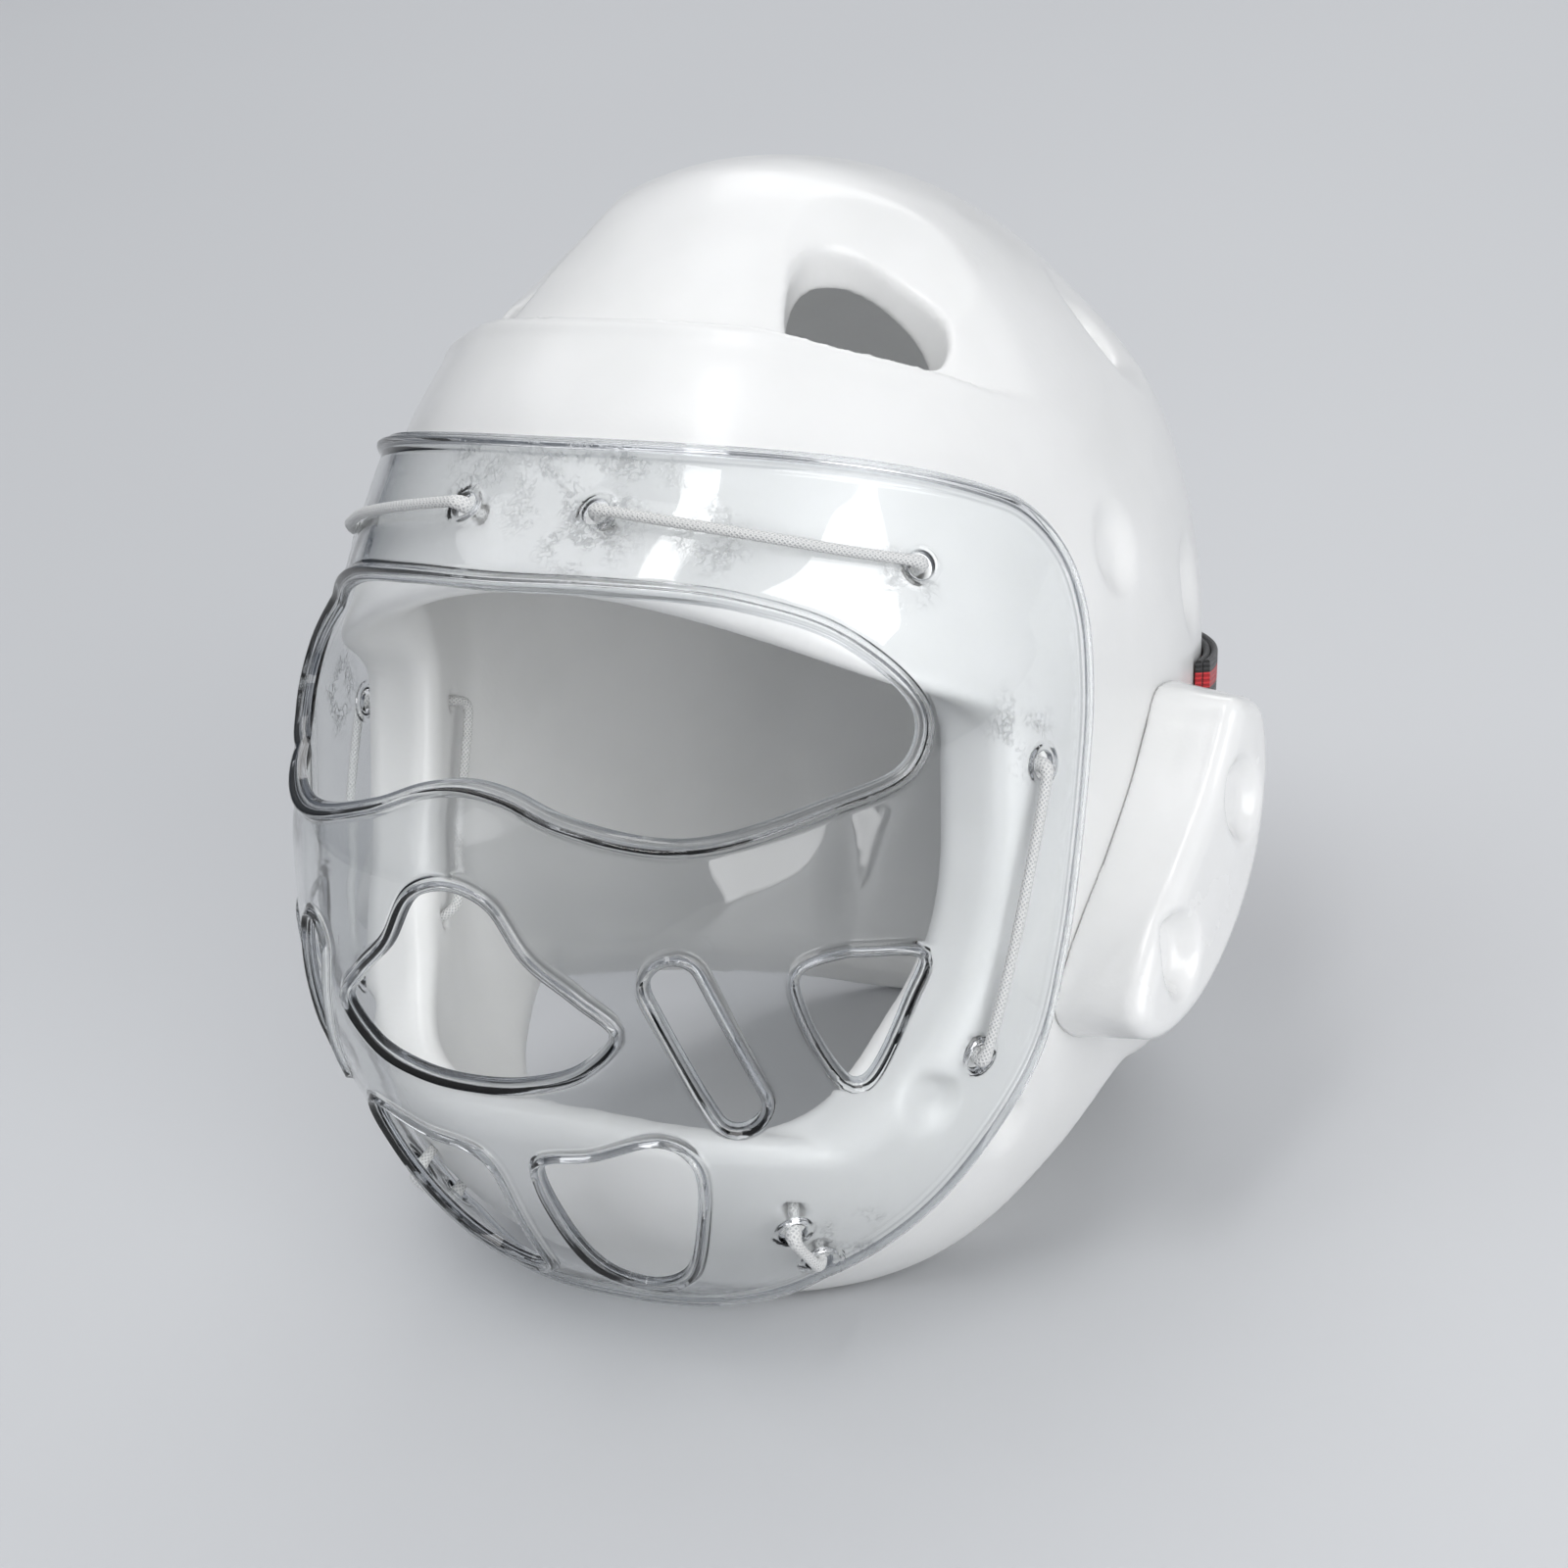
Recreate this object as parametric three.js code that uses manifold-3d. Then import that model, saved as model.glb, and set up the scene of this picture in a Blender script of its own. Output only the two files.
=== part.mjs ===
// Sparring headgear: a moulded foam shell with glued ear pads, a clear face shield laced to it,
// and an elastic strap across the slit at the back.
// Millimetres, +Z up. The pieces are shaped in a head frame with its origin in the middle of the
// shell, +X to the wearer's left and -Y to the front. The last section lays them on the floor.

import * as THREE from 'three';
import { mergeVertices } from 'three/addons/utils/BufferGeometryUtils.js';
import Module from 'manifold-3d';

const wasm = await Module();
wasm.setup();

// Sizes of the foam shell, from the middle of the head
const HALF_WIDTH = 95;
const FRONT_REACH = 102;
const BACK_REACH = 114;
const CROWN_HEIGHT = 129;
const JAW_DEPTH = 142;
const WALL = 16;
const HEM_ROUNDING = 4;

// How square the shell is in plan at the back, in section above the middle and below it
const BACK_FULLNESS = 2.05;
const DOME_FULLNESS = 2.17;
const JAW_FULLNESS = 3;

// Forehead ledge, the scoops round the vents and the dimples
const LEDGE_DEPTH = 3.5;
const SCOOP_DEPTH = 7;
const SCOOP_RADIUS = 32;
const REAR_SCOOP_DEPTH = 5;
const REAR_SCOOP_RADIUS = 25;
const REAR_VENT_HALF_WIDTH = 14;
const REAR_VENT_HALF_HEIGHT = 11;
const DIMPLE_SIZE = 10;
const DIMPLE_DEPTH = 3.5;

// Opening for the face: where the brow, the cheek rims and the chin bar end
const BROW_HEIGHT = 27;
const BROW_ARCH = 20;
const CHEEK_RIM = -46;
const CHIN_BAR_TOP = -86;
const CHIN_BAR_BACK = -72;
const OPENING_ROUNDING = 22;

// Slit at the nape
const SLIT_WIDTH = 12;
const SLIT_TOP = 26;

// Ear pads: how far they stand out of the shell, and their middle and half sizes seen from the side
const PAD_PROUD = 22;
const PAD_BACK = 6;
const PAD_DROP = 31;
const PAD_HALF_LENGTH = 38;
const PAD_HALF_HEIGHT = 40;
const PAD_ROUNDING = 6;
const PAD_DENT_DEPTH = 5;

// Face shield
const SHIELD_THICKNESS = 2;
const SHIELD_GAP = 1.5;
const SHIELD_SPREAD = 42;
const SHIELD_BULGE = 26;
const RIM_WIDTH = 4;
const EYE_RIM_WIDTH = 5;
const SLOT_WIDTH = 11.5;

// Laces, the play in their holes and inside the foam, and the gap between pieces that touch
const LACE_DIAMETER = 2.6;
const LACE_PLAY = 1.2;
const LACE_SLACK = 2.2;
const LACE_BEND = 2.4;
const SEAT_GAP = 0.3;

// Elastic strap: it starts behind the ear pads and overlaps itself on the wearer's left
const STRAP_THICKNESS = 1.6;
const STRAP_WIDTH = 38;
const STRAP_DROP = 7;
const STRAP_CLEARANCE = 5.5;
const OVERLAP_LENGTH = 80;

// Depth of the foam pressed flat where the headgear rests
const REST_FLAT = 1;

// Colours and finishes
const FOAM_FINISH = { color: 0xf2f2f0, roughness: 0.22, metalness: 0 };
const CLEAR_FINISH = { color: 0xdfe4e6, roughness: 0.06, metalness: 0, transparent: true, opacity: 0.3 };
const LACE_FINISH = { color: 0xf4f4f2, roughness: 0.6, metalness: 0 };
const STRAP_FINISH = { color: 0x151517, roughness: 0.85, metalness: 0 };

// Shell sections, top to bottom: shares of the reaches, and how square the front is in plan
const SHELL_SECTIONS = [
  { elevation: 90, front: 1.0, side: 1.0, back: 1.0, fullness: 2.0 },
  { elevation: 60, front: 0.965, side: 0.985, back: 1.0, fullness: 2.1 },
  { elevation: 35, front: 0.985, side: 1.0, back: 1.05, fullness: 2.15 },
  { elevation: 15, front: 0.98, side: 1.0, back: 1.035, fullness: 2.4 },
  { elevation: 0, front: 0.98, side: 1.0, back: 1.0, fullness: 3.2 },
  { elevation: -20, front: 0.98, side: 1.0, back: 0.97, fullness: 3.2 },
  { elevation: -43, front: 0.96, side: 1.0, back: 0.93, fullness: 2.8 },
  { elevation: -57, front: 0.955, side: 0.99, back: 0.93, fullness: 2.6 },
  { elevation: -75, front: 0.985, side: 0.97, back: 0.93, fullness: 2.4 },
  { elevation: -90, front: 0.985, side: 0.97, back: 0.93, fullness: 2.4 },
];

// Top edge of the forehead band, and how far its step stands out
const LEDGE_LINE = [
  { azimuth: 0, elevation: 53.5, step: 1 },
  { azimuth: 28, elevation: 52.5, step: 1 },
  { azimuth: 45, elevation: 49.5, step: 1 },
  { azimuth: 62, elevation: 46.5, step: 1 },
  { azimuth: 71, elevation: 44.5, step: 0.45 },
  { azimuth: 82, elevation: 43, step: 0 },
  { azimuth: 180, elevation: 39, step: 0 },
];

// Lower hem of the shell, from the chin round to the nape
const HEM_LINE = [
  { azimuth: 0, elevation: -75.5 },
  { azimuth: 20, elevation: -74.6 },
  { azimuth: 41, elevation: -71.6 },
  { azimuth: 56, elevation: -68.7 },
  { azimuth: 66, elevation: -64.6 },
  { azimuth: 75, elevation: -59 },
  { azimuth: 86, elevation: -51.5 },
  { azimuth: 102, elevation: -43.5 },
  { azimuth: 140, elevation: -43.5 },
  { azimuth: 180, elevation: -45 },
];

// How far the shield stands ahead of the shell on the centre line, as a share of its bulge
const SHIELD_SECTIONS = [
  { elevation: 90, bulge: 0 },
  { elevation: 42, bulge: 0 },
  { elevation: 30, bulge: 0.05 },
  { elevation: 18, bulge: 0.4 },
  { elevation: 8, bulge: 0.41 },
  { elevation: -4, bulge: 0.72 },
  { elevation: -12, bulge: 1 },
  { elevation: -30, bulge: 0.94 },
  { elevation: -40, bulge: 0.68 },
  { elevation: -57, bulge: 0.36 },
  { elevation: -68, bulge: 0.06 },
  { elevation: -90, bulge: 0 },
];

// Edge of the shield, from the forehead to the chin; the other side mirrors it
const SHIELD_EDGE = [
  { azimuth: 0, elevation: 36.5 },
  { azimuth: 22, elevation: 36 },
  { azimuth: 46, elevation: 34.5 },
  { azimuth: 62, elevation: 32 },
  { azimuth: 70, elevation: 29.5 },
  { azimuth: 76, elevation: 24 },
  { azimuth: 78.5, elevation: 17 },
  { azimuth: 78.5, elevation: 7 },
  { azimuth: 76.5, elevation: -10 },
  { azimuth: 74, elevation: -25 },
  { azimuth: 71, elevation: -35 },
  { azimuth: 64, elevation: -43 },
  { azimuth: 54, elevation: -51.5 },
  { azimuth: 40, elevation: -59.5 },
  { azimuth: 26, elevation: -62.8 },
  { azimuth: 12, elevation: -64.3 },
  { azimuth: 0, elevation: -64.6 },
];

// Openings of the shield: the first two mirror themselves, the others come in pairs
const EYE_OPENING = [
  { azimuth: 0, elevation: 19.5 },
  { azimuth: 15, elevation: 19.5 },
  { azimuth: 30, elevation: 18.5 },
  { azimuth: 43, elevation: 14.5 },
  { azimuth: 51, elevation: 6 },
  { azimuth: 49, elevation: -1 },
  { azimuth: 38, elevation: -5.5 },
  { azimuth: 25, elevation: -8.5 },
  { azimuth: 12, elevation: -6.8 },
  { azimuth: 5, elevation: -4.6 },
  { azimuth: 0, elevation: -4 },
];
const MOUTH_VENT = [
  { azimuth: 0, elevation: -11.5 },
  { azimuth: 5, elevation: -13 },
  { azimuth: 9, elevation: -18 },
  { azimuth: 14, elevation: -21.5 },
  { azimuth: 18, elevation: -25 },
  { azimuth: 14, elevation: -29 },
  { azimuth: 7, elevation: -31 },
  { azimuth: 0, elevation: -31.5 },
];
const SLOT_ENDS = [
  { azimuth: 23.5, elevation: -20.5 },
  { azimuth: 30, elevation: -33.5 },
];
const TRIANGLE = [
  { azimuth: 36, elevation: -20.5 },
  { azimuth: 43, elevation: -19.8 },
  { azimuth: 50.5, elevation: -21 },
  { azimuth: 49, elevation: -25 },
  { azimuth: 44.5, elevation: -33.5 },
  { azimuth: 42.3, elevation: -33.5 },
  { azimuth: 36.8, elevation: -25 },
];
const CHIN_VENT = [
  { azimuth: 4, elevation: -41 },
  { azimuth: 12, elevation: -39 },
  { azimuth: 21, elevation: -36.8 },
  { azimuth: 24.5, elevation: -40 },
  { azimuth: 24, elevation: -47 },
  { azimuth: 20, elevation: -55.5 },
  { azimuth: 12, elevation: -58.5 },
  { azimuth: 6, elevation: -56 },
  { azimuth: 3.6, elevation: -48 },
];

// Places of the vents and dimples in the shell, with the dimples' half sizes as shares
const FRONT_VENT = [
  { azimuth: 36, elevation: 52.5 },
  { azimuth: 50, elevation: 51 },
  { azimuth: 64, elevation: 49 },
  { azimuth: 68, elevation: 52.5 },
  { azimuth: 68, elevation: 58 },
  { azimuth: 61, elevation: 64.5 },
  { azimuth: 49, elevation: 67 },
  { azimuth: 40, elevation: 65 },
  { azimuth: 36, elevation: 60 },
];
const FRONT_SCOOP = { azimuth: 54, elevation: 60 };
const REAR_VENT = { azimuth: 127, elevation: 49.5 };
const DIMPLES = [
  { azimuth: 91, elevation: 24, wide: 0.9, tall: 1.1 },
  { azimuth: 118, elevation: 16, wide: 0.9, tall: 1.2 },
  { azimuth: 150, elevation: 18, wide: 1.1, tall: 1.4 },
  { azimuth: 54, elevation: -38.5, wide: 0.7, tall: 0.7 },
  { azimuth: 68, elevation: -44, wide: 0.7, tall: 0.7 },
];

// Outline of an ear pad at its outer face and its root: shares of its half sizes from its middle
const PAD_OUTLINE = [
  { faceBack: 0.26, faceUp: 0.93, rootBack: 0.26, rootUp: 1 },
  { faceBack: 0.58, faceUp: 0.88, rootBack: 0.84, rootUp: 0.93 },
  { faceBack: 0.68, faceUp: 0.58, rootBack: 0.97, rootUp: 0.58 },
  { faceBack: 0.58, faceUp: 0.03, rootBack: 0.87, rootUp: -0.08 },
  { faceBack: 0.26, faceUp: -0.45, rootBack: 0.53, rootUp: -0.68 },
  { faceBack: -0.21, faceUp: -0.8, rootBack: -0.05, rootUp: -1 },
  { faceBack: -0.66, faceUp: -0.9, rootBack: -0.5, rootUp: -1 },
  { faceBack: -0.89, faceUp: -0.75, rootBack: -0.79, rootUp: -0.78 },
  { faceBack: -0.76, faceUp: -0.38, rootBack: -0.68, rootUp: -0.4 },
  { faceBack: -0.39, faceUp: 0.03, rootBack: -0.42, rootUp: 0.05 },
  { faceBack: -0.05, faceUp: 0.43, rootBack: -0.16, rootUp: 0.48 },
  { faceBack: 0.16, faceUp: 0.78, rootBack: 0.05, rootUp: 0.8 },
];
const PAD_DENTS = [
  { back: 0.32, up: 0.48, wide: 0.24, tall: 0.35 },
  { back: -0.47, up: -0.43, wide: 0.26, tall: 0.3 },
];

// Lace holes, on the wearer's left; each lace runs from one hole to the other and back
const LACE_HOLES = [
  { lace: 'forehead', azimuth: 10.5, elevation: 27.8 },
  { lace: 'forehead', azimuth: 52, elevation: 22.5 },
  { lace: 'cheek', azimuth: 68, elevation: -2 },
  { lace: 'cheek', azimuth: 59.5, elevation: -33.5 },
  { lace: 'chin', azimuth: 36, elevation: -50 },
  { lace: 'chin', azimuth: 40.5, elevation: -55.5 },
];

// Shape of the transitions, in degrees: above the ledge, at its edge and at the hem
const LEDGE_FADE = 28;
const LEDGE_EDGE = 0.6;
const HEM_TURN = 2;
// How fast the shield's bulge falls off sideways, and how far the cutters pass what they cut
const BULGE_POWER = 1.2;
const CUTTER_REACH = 1.4;

// Fineness of the meshes
const AZIMUTH_STEPS = 44;
const UPPER_ROWS = 6;
const LOWER_ROWS = 9;
const INNER_ROWS = 9;
const BROW_STEPS = 16;
const SHIELD_RINGS = 7;
const SHIELD_SIDES = 44;
const SHIELD_CENTRE = { azimuth: 0, elevation: 6 };
const EYE_SIDES = 32;
const MOUTH_SIDES = 22;
const CHIN_VENT_SIDES = 18;
const TRIANGLE_SIDES = 14;
const VENT_SIDES = 20;
const REAR_VENT_SIDES = 14;
const SLOT_END_STEPS = 5;
const PAD_SIDES = 22;
const PAD_EDGE_TURNS = [30, 60, 85];
const RIM_SIDES = 5;
const HOLE_SIDES = 8;
const LACE_SIDES = 5;
const LACE_STEP = 10;
const STRAP_STEPS = 18;
const STRAP_ROWS = 3;
const MERGE_DISTANCE = 1e-4;

const rad = THREE.MathUtils.degToRad;
const deg = THREE.MathUtils.radToDeg;

// A smooth curve through one column of a table, without overshoot
function smoothColumn(table, key, column) {
  const rows = [...table].sort((a, b) => a[key] - b[key]);
  const x = rows.map((row) => row[key]);
  const y = rows.map((row) => row[column]);
  const slope = rows.slice(1).map((_, i) => (y[i + 1] - y[i]) / (x[i + 1] - x[i]));
  const tangent = rows.map((_, i) => {
    const before = slope[i - 1] ?? 0;
    const after = slope[i] ?? 0;
    return before * after > 0 ? (2 * before * after) / (before + after) : 0;
  });
  return (value) => {
    const at = THREE.MathUtils.clamp(value, x[0], x[x.length - 1]);
    const i = Math.min(x.filter((edge) => edge <= at).length, x.length - 1) - 1;
    const span = x[i + 1] - x[i];
    const s = (at - x[i]) / span;
    const start = y[i] * (1 + 2 * s) * (1 - s) ** 2 + tangent[i] * span * s * (1 - s) ** 2;
    const end = y[i + 1] * s * s * (3 - 2 * s) + tangent[i + 1] * span * s * s * (s - 1);
    return start + end;
  };
}

const section = {
  front: smoothColumn(SHELL_SECTIONS, 'elevation', 'front'),
  side: smoothColumn(SHELL_SECTIONS, 'elevation', 'side'),
  back: smoothColumn(SHELL_SECTIONS, 'elevation', 'back'),
  fullness: smoothColumn(SHELL_SECTIONS, 'elevation', 'fullness'),
};
const ledgeHeight = smoothColumn(LEDGE_LINE, 'azimuth', 'elevation');
const ledgeStep = smoothColumn(LEDGE_LINE, 'azimuth', 'step');
const hemHeight = smoothColumn(HEM_LINE, 'azimuth', 'elevation');
const shieldBulge = smoothColumn(SHIELD_SECTIONS, 'elevation', 'bulge');

// Azimuth 0 is the front and 90 the wearer's left; elevation 90 is the crown
function place(azimuth, elevation, radius) {
  const flat = Math.cos(rad(elevation)) * radius;
  const height = Math.sin(rad(elevation)) * radius;
  return new THREE.Vector3(Math.sin(rad(azimuth)) * flat, -Math.cos(rad(azimuth)) * flat, height);
}

// The azimuth folded to one side, 0 at the front and 180 at the back
function folded(azimuth) {
  const turn = THREE.MathUtils.euclideanModulo(azimuth + 180, 360) - 180;
  return Math.abs(turn);
}

// The shell's outer surface without its ledge and scoops
function shellRadius(azimuth, elevation) {
  const toward = place(azimuth, elevation, 1);
  const isFront = toward.y < 0;
  const plan = isFront ? section.fullness(elevation) : BACK_FULLNESS;
  const reach = isFront ? FRONT_REACH : BACK_REACH;
  const tall = toward.z > 0 ? CROWN_HEIGHT : JAW_DEPTH;
  const fullness = toward.z > 0 ? DOME_FULLNESS : JAW_FULLNESS;
  const across = (Math.abs(toward.x) / HALF_WIDTH) ** plan;
  const along = (Math.abs(toward.y) / reach) ** plan;
  const level = (across + along) ** (1 / plan);
  const whole = (level ** fullness + (Math.abs(toward.z) / tall) ** fullness) ** (1 / fullness);
  const sideways = Math.sin(rad(azimuth)) ** 2;
  const end = isFront ? section.front(elevation) : section.back(elevation);
  return (section.side(elevation) * sideways + end * (1 - sideways)) / whole;
}

// A round dish: 1 in its middle, 0 from its edge on
function dish(azimuth, elevation, centre, radius) {
  const distance = place(folded(azimuth), elevation, 1).angleTo(place(centre.azimuth, centre.elevation, 1));
  const share = THREE.MathUtils.clamp((distance * CROWN_HEIGHT) / radius, 0, 1);
  return 1 - THREE.MathUtils.smoothstep(share, 0.25, 1);
}

// How far the crown lies below the plain surface: the step at the ledge and the scoops
function crownRelief(azimuth, elevation) {
  const side = folded(azimuth);
  const scoop = SCOOP_DEPTH * dish(azimuth, elevation, FRONT_SCOOP, SCOOP_RADIUS);
  const above = THREE.MathUtils.smoothstep(elevation - ledgeHeight(side), 0, LEDGE_FADE);
  return Math.max(LEDGE_DEPTH * ledgeStep(side) * (1 - above), scoop);
}

function rearRelief(azimuth, elevation) {
  return REAR_SCOOP_DEPTH * dish(azimuth, elevation, REAR_VENT, REAR_SCOOP_RADIUS);
}

// The inner face of the shield; the outer one lies one thickness further out
function shieldRadius(azimuth, elevation) {
  const share = THREE.MathUtils.clamp(Math.abs(azimuth) / SHIELD_SPREAD, 0, 1);
  const ahead = SHIELD_BULGE * shieldBulge(elevation) * (1 - share * share) ** BULGE_POWER;
  return shellRadius(azimuth, elevation) + SHIELD_GAP + ahead;
}

// A closed solid from position rings of equal count, with a point or a fan at each end
function ringSolid(rings, startPoint, endPoint) {
  const sides = rings[0].length;
  const points = [startPoint, ...rings.flat(), endPoint];
  const last = points.length - 1;
  const triangles = [];
  for (let i = 0; i < sides; i++) {
    const j = (i + 1) % sides;
    triangles.push([0, 1 + j, 1 + i]);
    for (let row = 0; row + 1 < rings.length; row++) {
      const upper = 1 + row * sides;
      const lower = upper + sides;
      triangles.push([upper + i, upper + j, lower + i]);
      triangles.push([upper + j, lower + j, lower + i]);
    }
    const bottom = 1 + (rings.length - 1) * sides;
    triangles.push([bottom + i, bottom + j, last]);
  }
  return solidFrom(points, triangles);
}

// A ring-shaped solid from sections of equal count, the last joined to the first
function loopSolid(sections) {
  const sides = sections[0].length;
  const triangles = [];
  sections.forEach((_, row) => {
    const here = row * sides;
    const next = ((row + 1) % sections.length) * sides;
    for (let i = 0; i < sides; i++) {
      const j = (i + 1) % sides;
      triangles.push([here + i, here + j, next + i]);
      triangles.push([here + j, next + j, next + i]);
    }
  });
  return solidFrom(sections.flat(), triangles);
}

// A solid for cutting and joining, with its faces turned outwards
function solidFrom(points, triangles) {
  const volume = triangles.reduce((sum, [a, b, c]) => {
    return sum + points[a].dot(new THREE.Vector3().crossVectors(points[b], points[c]));
  }, 0);
  const faces = volume < 0 ? triangles.map(([a, b, c]) => [a, c, b]) : triangles;
  const vertProperties = new Float32Array(points.flatMap((point) => point.toArray()));
  const triVerts = new Uint32Array(faces.flat());
  return new wasm.Manifold(new wasm.Mesh({ numProp: 3, vertProperties, triVerts }));
}

function solidFromGeometry(source) {
  source.deleteAttribute('normal');
  source.deleteAttribute('uv');
  const geometry = mergeVertices(source, MERGE_DISTANCE);
  const vertProperties = new Float32Array(geometry.attributes.position.array);
  const triVerts = new Uint32Array(geometry.index.array);
  return new wasm.Manifold(new wasm.Mesh({ numProp: 3, vertProperties, triVerts }));
}

function geometryOf(solid) {
  const mesh = solid.getMesh();
  const geometry = new THREE.BufferGeometry();
  geometry.setAttribute('position', new THREE.BufferAttribute(mesh.vertProperties, 3));
  geometry.setIndex(new THREE.BufferAttribute(mesh.triVerts, 1));
  geometry.computeVertexNormals();
  return geometry;
}

// A closed outline in azimuth and elevation through a few corners
function smoothOutline(corners, count) {
  const points = corners.map(({ azimuth, elevation }) => new THREE.Vector3(azimuth, elevation, 0));
  const outline = new THREE.CatmullRomCurve3(points, true, 'centripetal');
  return outline.getSpacedPoints(count).slice(0, -1).map((point) => [point.x, point.y]);
}

// Half a table of corners, from its top to its bottom on the centre line, with its mirror image
function mirrored(half) {
  const back = half.slice(1, -1).reverse();
  return [...half, ...back.map(({ azimuth, elevation }) => ({ azimuth: -azimuth, elevation }))];
}

const flipped = (outline) => outline.map(([azimuth, elevation]) => [-azimuth, elevation]);

// An oval of given half sizes round a place on a surface of given radius
function ovalOutline({ azimuth, elevation }, halfWide, halfTall, radius, count) {
  const turns = Array.from({ length: count }, (_, i) => (i / count) * 2 * Math.PI);
  return turns.map((turn) => [
    azimuth + deg((halfWide * Math.cos(turn)) / (radius * Math.cos(rad(elevation)))),
    elevation + deg((halfTall * Math.sin(turn)) / radius),
  ]);
}

// A slot with round ends between two places on the shield
function slotOutline([lower, upper], width) {
  const radius = shieldRadius(lower.azimuth, lower.elevation);
  const squash = Math.cos(rad((lower.elevation + upper.elevation) / 2));
  const [a, b] = [lower, upper].map((end) => new THREE.Vector2(end.azimuth * squash, end.elevation));
  const heading = b.clone().sub(a).angle();
  const half = deg(width / 2 / radius);
  const outline = [];
  [[b, -Math.PI / 2], [a, Math.PI / 2]].forEach(([end, start]) => {
    for (let i = 0; i <= SLOT_END_STEPS; i++) {
      const turn = heading + start + (i / SLOT_END_STEPS) * Math.PI;
      outline.push([(end.x + half * Math.cos(turn)) / squash, end.y + half * Math.sin(turn)]);
    }
  });
  return outline;
}

// A cutter that runs straight out from the middle of the head through an outline
function radialCutter(outline, inner, outer) {
  const flat = outline.map(([azimuth, elevation]) => new THREE.Vector2(azimuth, elevation));
  const caps = THREE.ShapeUtils.triangulateShape(flat, []);
  const count = outline.length;
  const near = outline.map(([azimuth, elevation]) => place(azimuth, elevation, inner));
  const far = outline.map(([azimuth, elevation]) => place(azimuth, elevation, outer));
  const ends = caps.flatMap(([a, b, c]) => [[a, b, c], [count + a, count + c, count + b]]);
  const sides = outline.flatMap((_, i) => {
    const j = (i + 1) % count;
    return [[i, count + i, j], [j, count + i, count + j]];
  });
  const turnsLeft = THREE.ShapeUtils.area(flat) > 0;
  const walls = turnsLeft ? sides : sides.map(([a, b, c]) => [a, c, b]);
  return solidFrom([...near, ...far], [...ends, ...walls]);
}

// A round bead along a closed line of points, each with the direction that faces outwards
function beadLoop(points, outward, width, sides) {
  const count = points.length;
  const rings = points.map((point, i) => {
    const along = points[(i + 1) % count].clone().sub(points[(i + count - 1) % count]).normalize();
    const out = outward[i].clone().addScaledVector(along, -outward[i].dot(along)).normalize();
    const across = new THREE.Vector3().crossVectors(along, out);
    return Array.from({ length: sides }, (_, k) => {
      const turn = ((k + 0.5) / sides) * 2 * Math.PI;
      const ring = point.clone().addScaledVector(out, (width / 2) * Math.cos(turn));
      return ring.addScaledVector(across, (width / 2) * Math.sin(turn));
    });
  });
  return loopSolid(rings);
}

function middleOf(points) {
  return points.reduce((sum, point) => sum.add(point), new THREE.Vector3()).divideScalar(points.length);
}

const joined = (solids) => solids.reduce((whole, next) => whole.add(next));

// Foam shell
const columns = Array.from({ length: AZIMUTH_STEPS }, (_, i) => (i / AZIMUTH_STEPS) * 360);

function shellRing(elevationAt, radiusAt) {
  return columns.map((azimuth) => {
    const elevation = elevationAt(azimuth);
    return place(azimuth, elevation, radiusAt(azimuth, elevation));
  });
}

function crownRings() {
  const radiusAt = (azimuth, elevation) => {
    return shellRadius(azimuth, elevation) - crownRelief(azimuth, elevation) - rearRelief(azimuth, elevation);
  };
  return Array.from({ length: UPPER_ROWS }, (_, row) => {
    const share = (row + 1) / UPPER_ROWS;
    return shellRing((azimuth) => {
      return THREE.MathUtils.lerp(90, ledgeHeight(folded(azimuth)) + LEDGE_EDGE, share);
    }, radiusAt);
  });
}

function bandRings() {
  const radiusAt = (azimuth, elevation) => shellRadius(azimuth, elevation) - rearRelief(azimuth, elevation);
  return Array.from({ length: LOWER_ROWS + 1 }, (_, row) => {
    return shellRing((azimuth) => {
      const side = folded(azimuth);
      const share = row / LOWER_ROWS;
      return THREE.MathUtils.lerp(ledgeHeight(side) - LEDGE_EDGE, hemHeight(side) + HEM_TURN, share);
    }, radiusAt);
  });
}

function hemRings() {
  const hemAt = (azimuth) => hemHeight(folded(azimuth));
  return [HEM_ROUNDING, WALL - HEM_ROUNDING].map((depth) => {
    return shellRing(hemAt, (azimuth, elevation) => shellRadius(azimuth, elevation) - depth);
  });
}

function liningRings() {
  const radiusAt = (azimuth, elevation) => shellRadius(azimuth, elevation) - WALL;
  return Array.from({ length: INNER_ROWS }, (_, row) => {
    const share = 1 - row / INNER_ROWS;
    return shellRing((azimuth) => {
      return THREE.MathUtils.lerp(90, hemHeight(folded(azimuth)) + HEM_TURN, share);
    }, radiusAt);
  });
}

function foamBlank() {
  const rings = [...crownRings(), ...bandRings(), ...hemRings(), ...liningRings()];
  const top = new THREE.Vector3(0, 0, CROWN_HEIGHT);
  return ringSolid(rings, top, top.clone().setZ(CROWN_HEIGHT - WALL));
}

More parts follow.
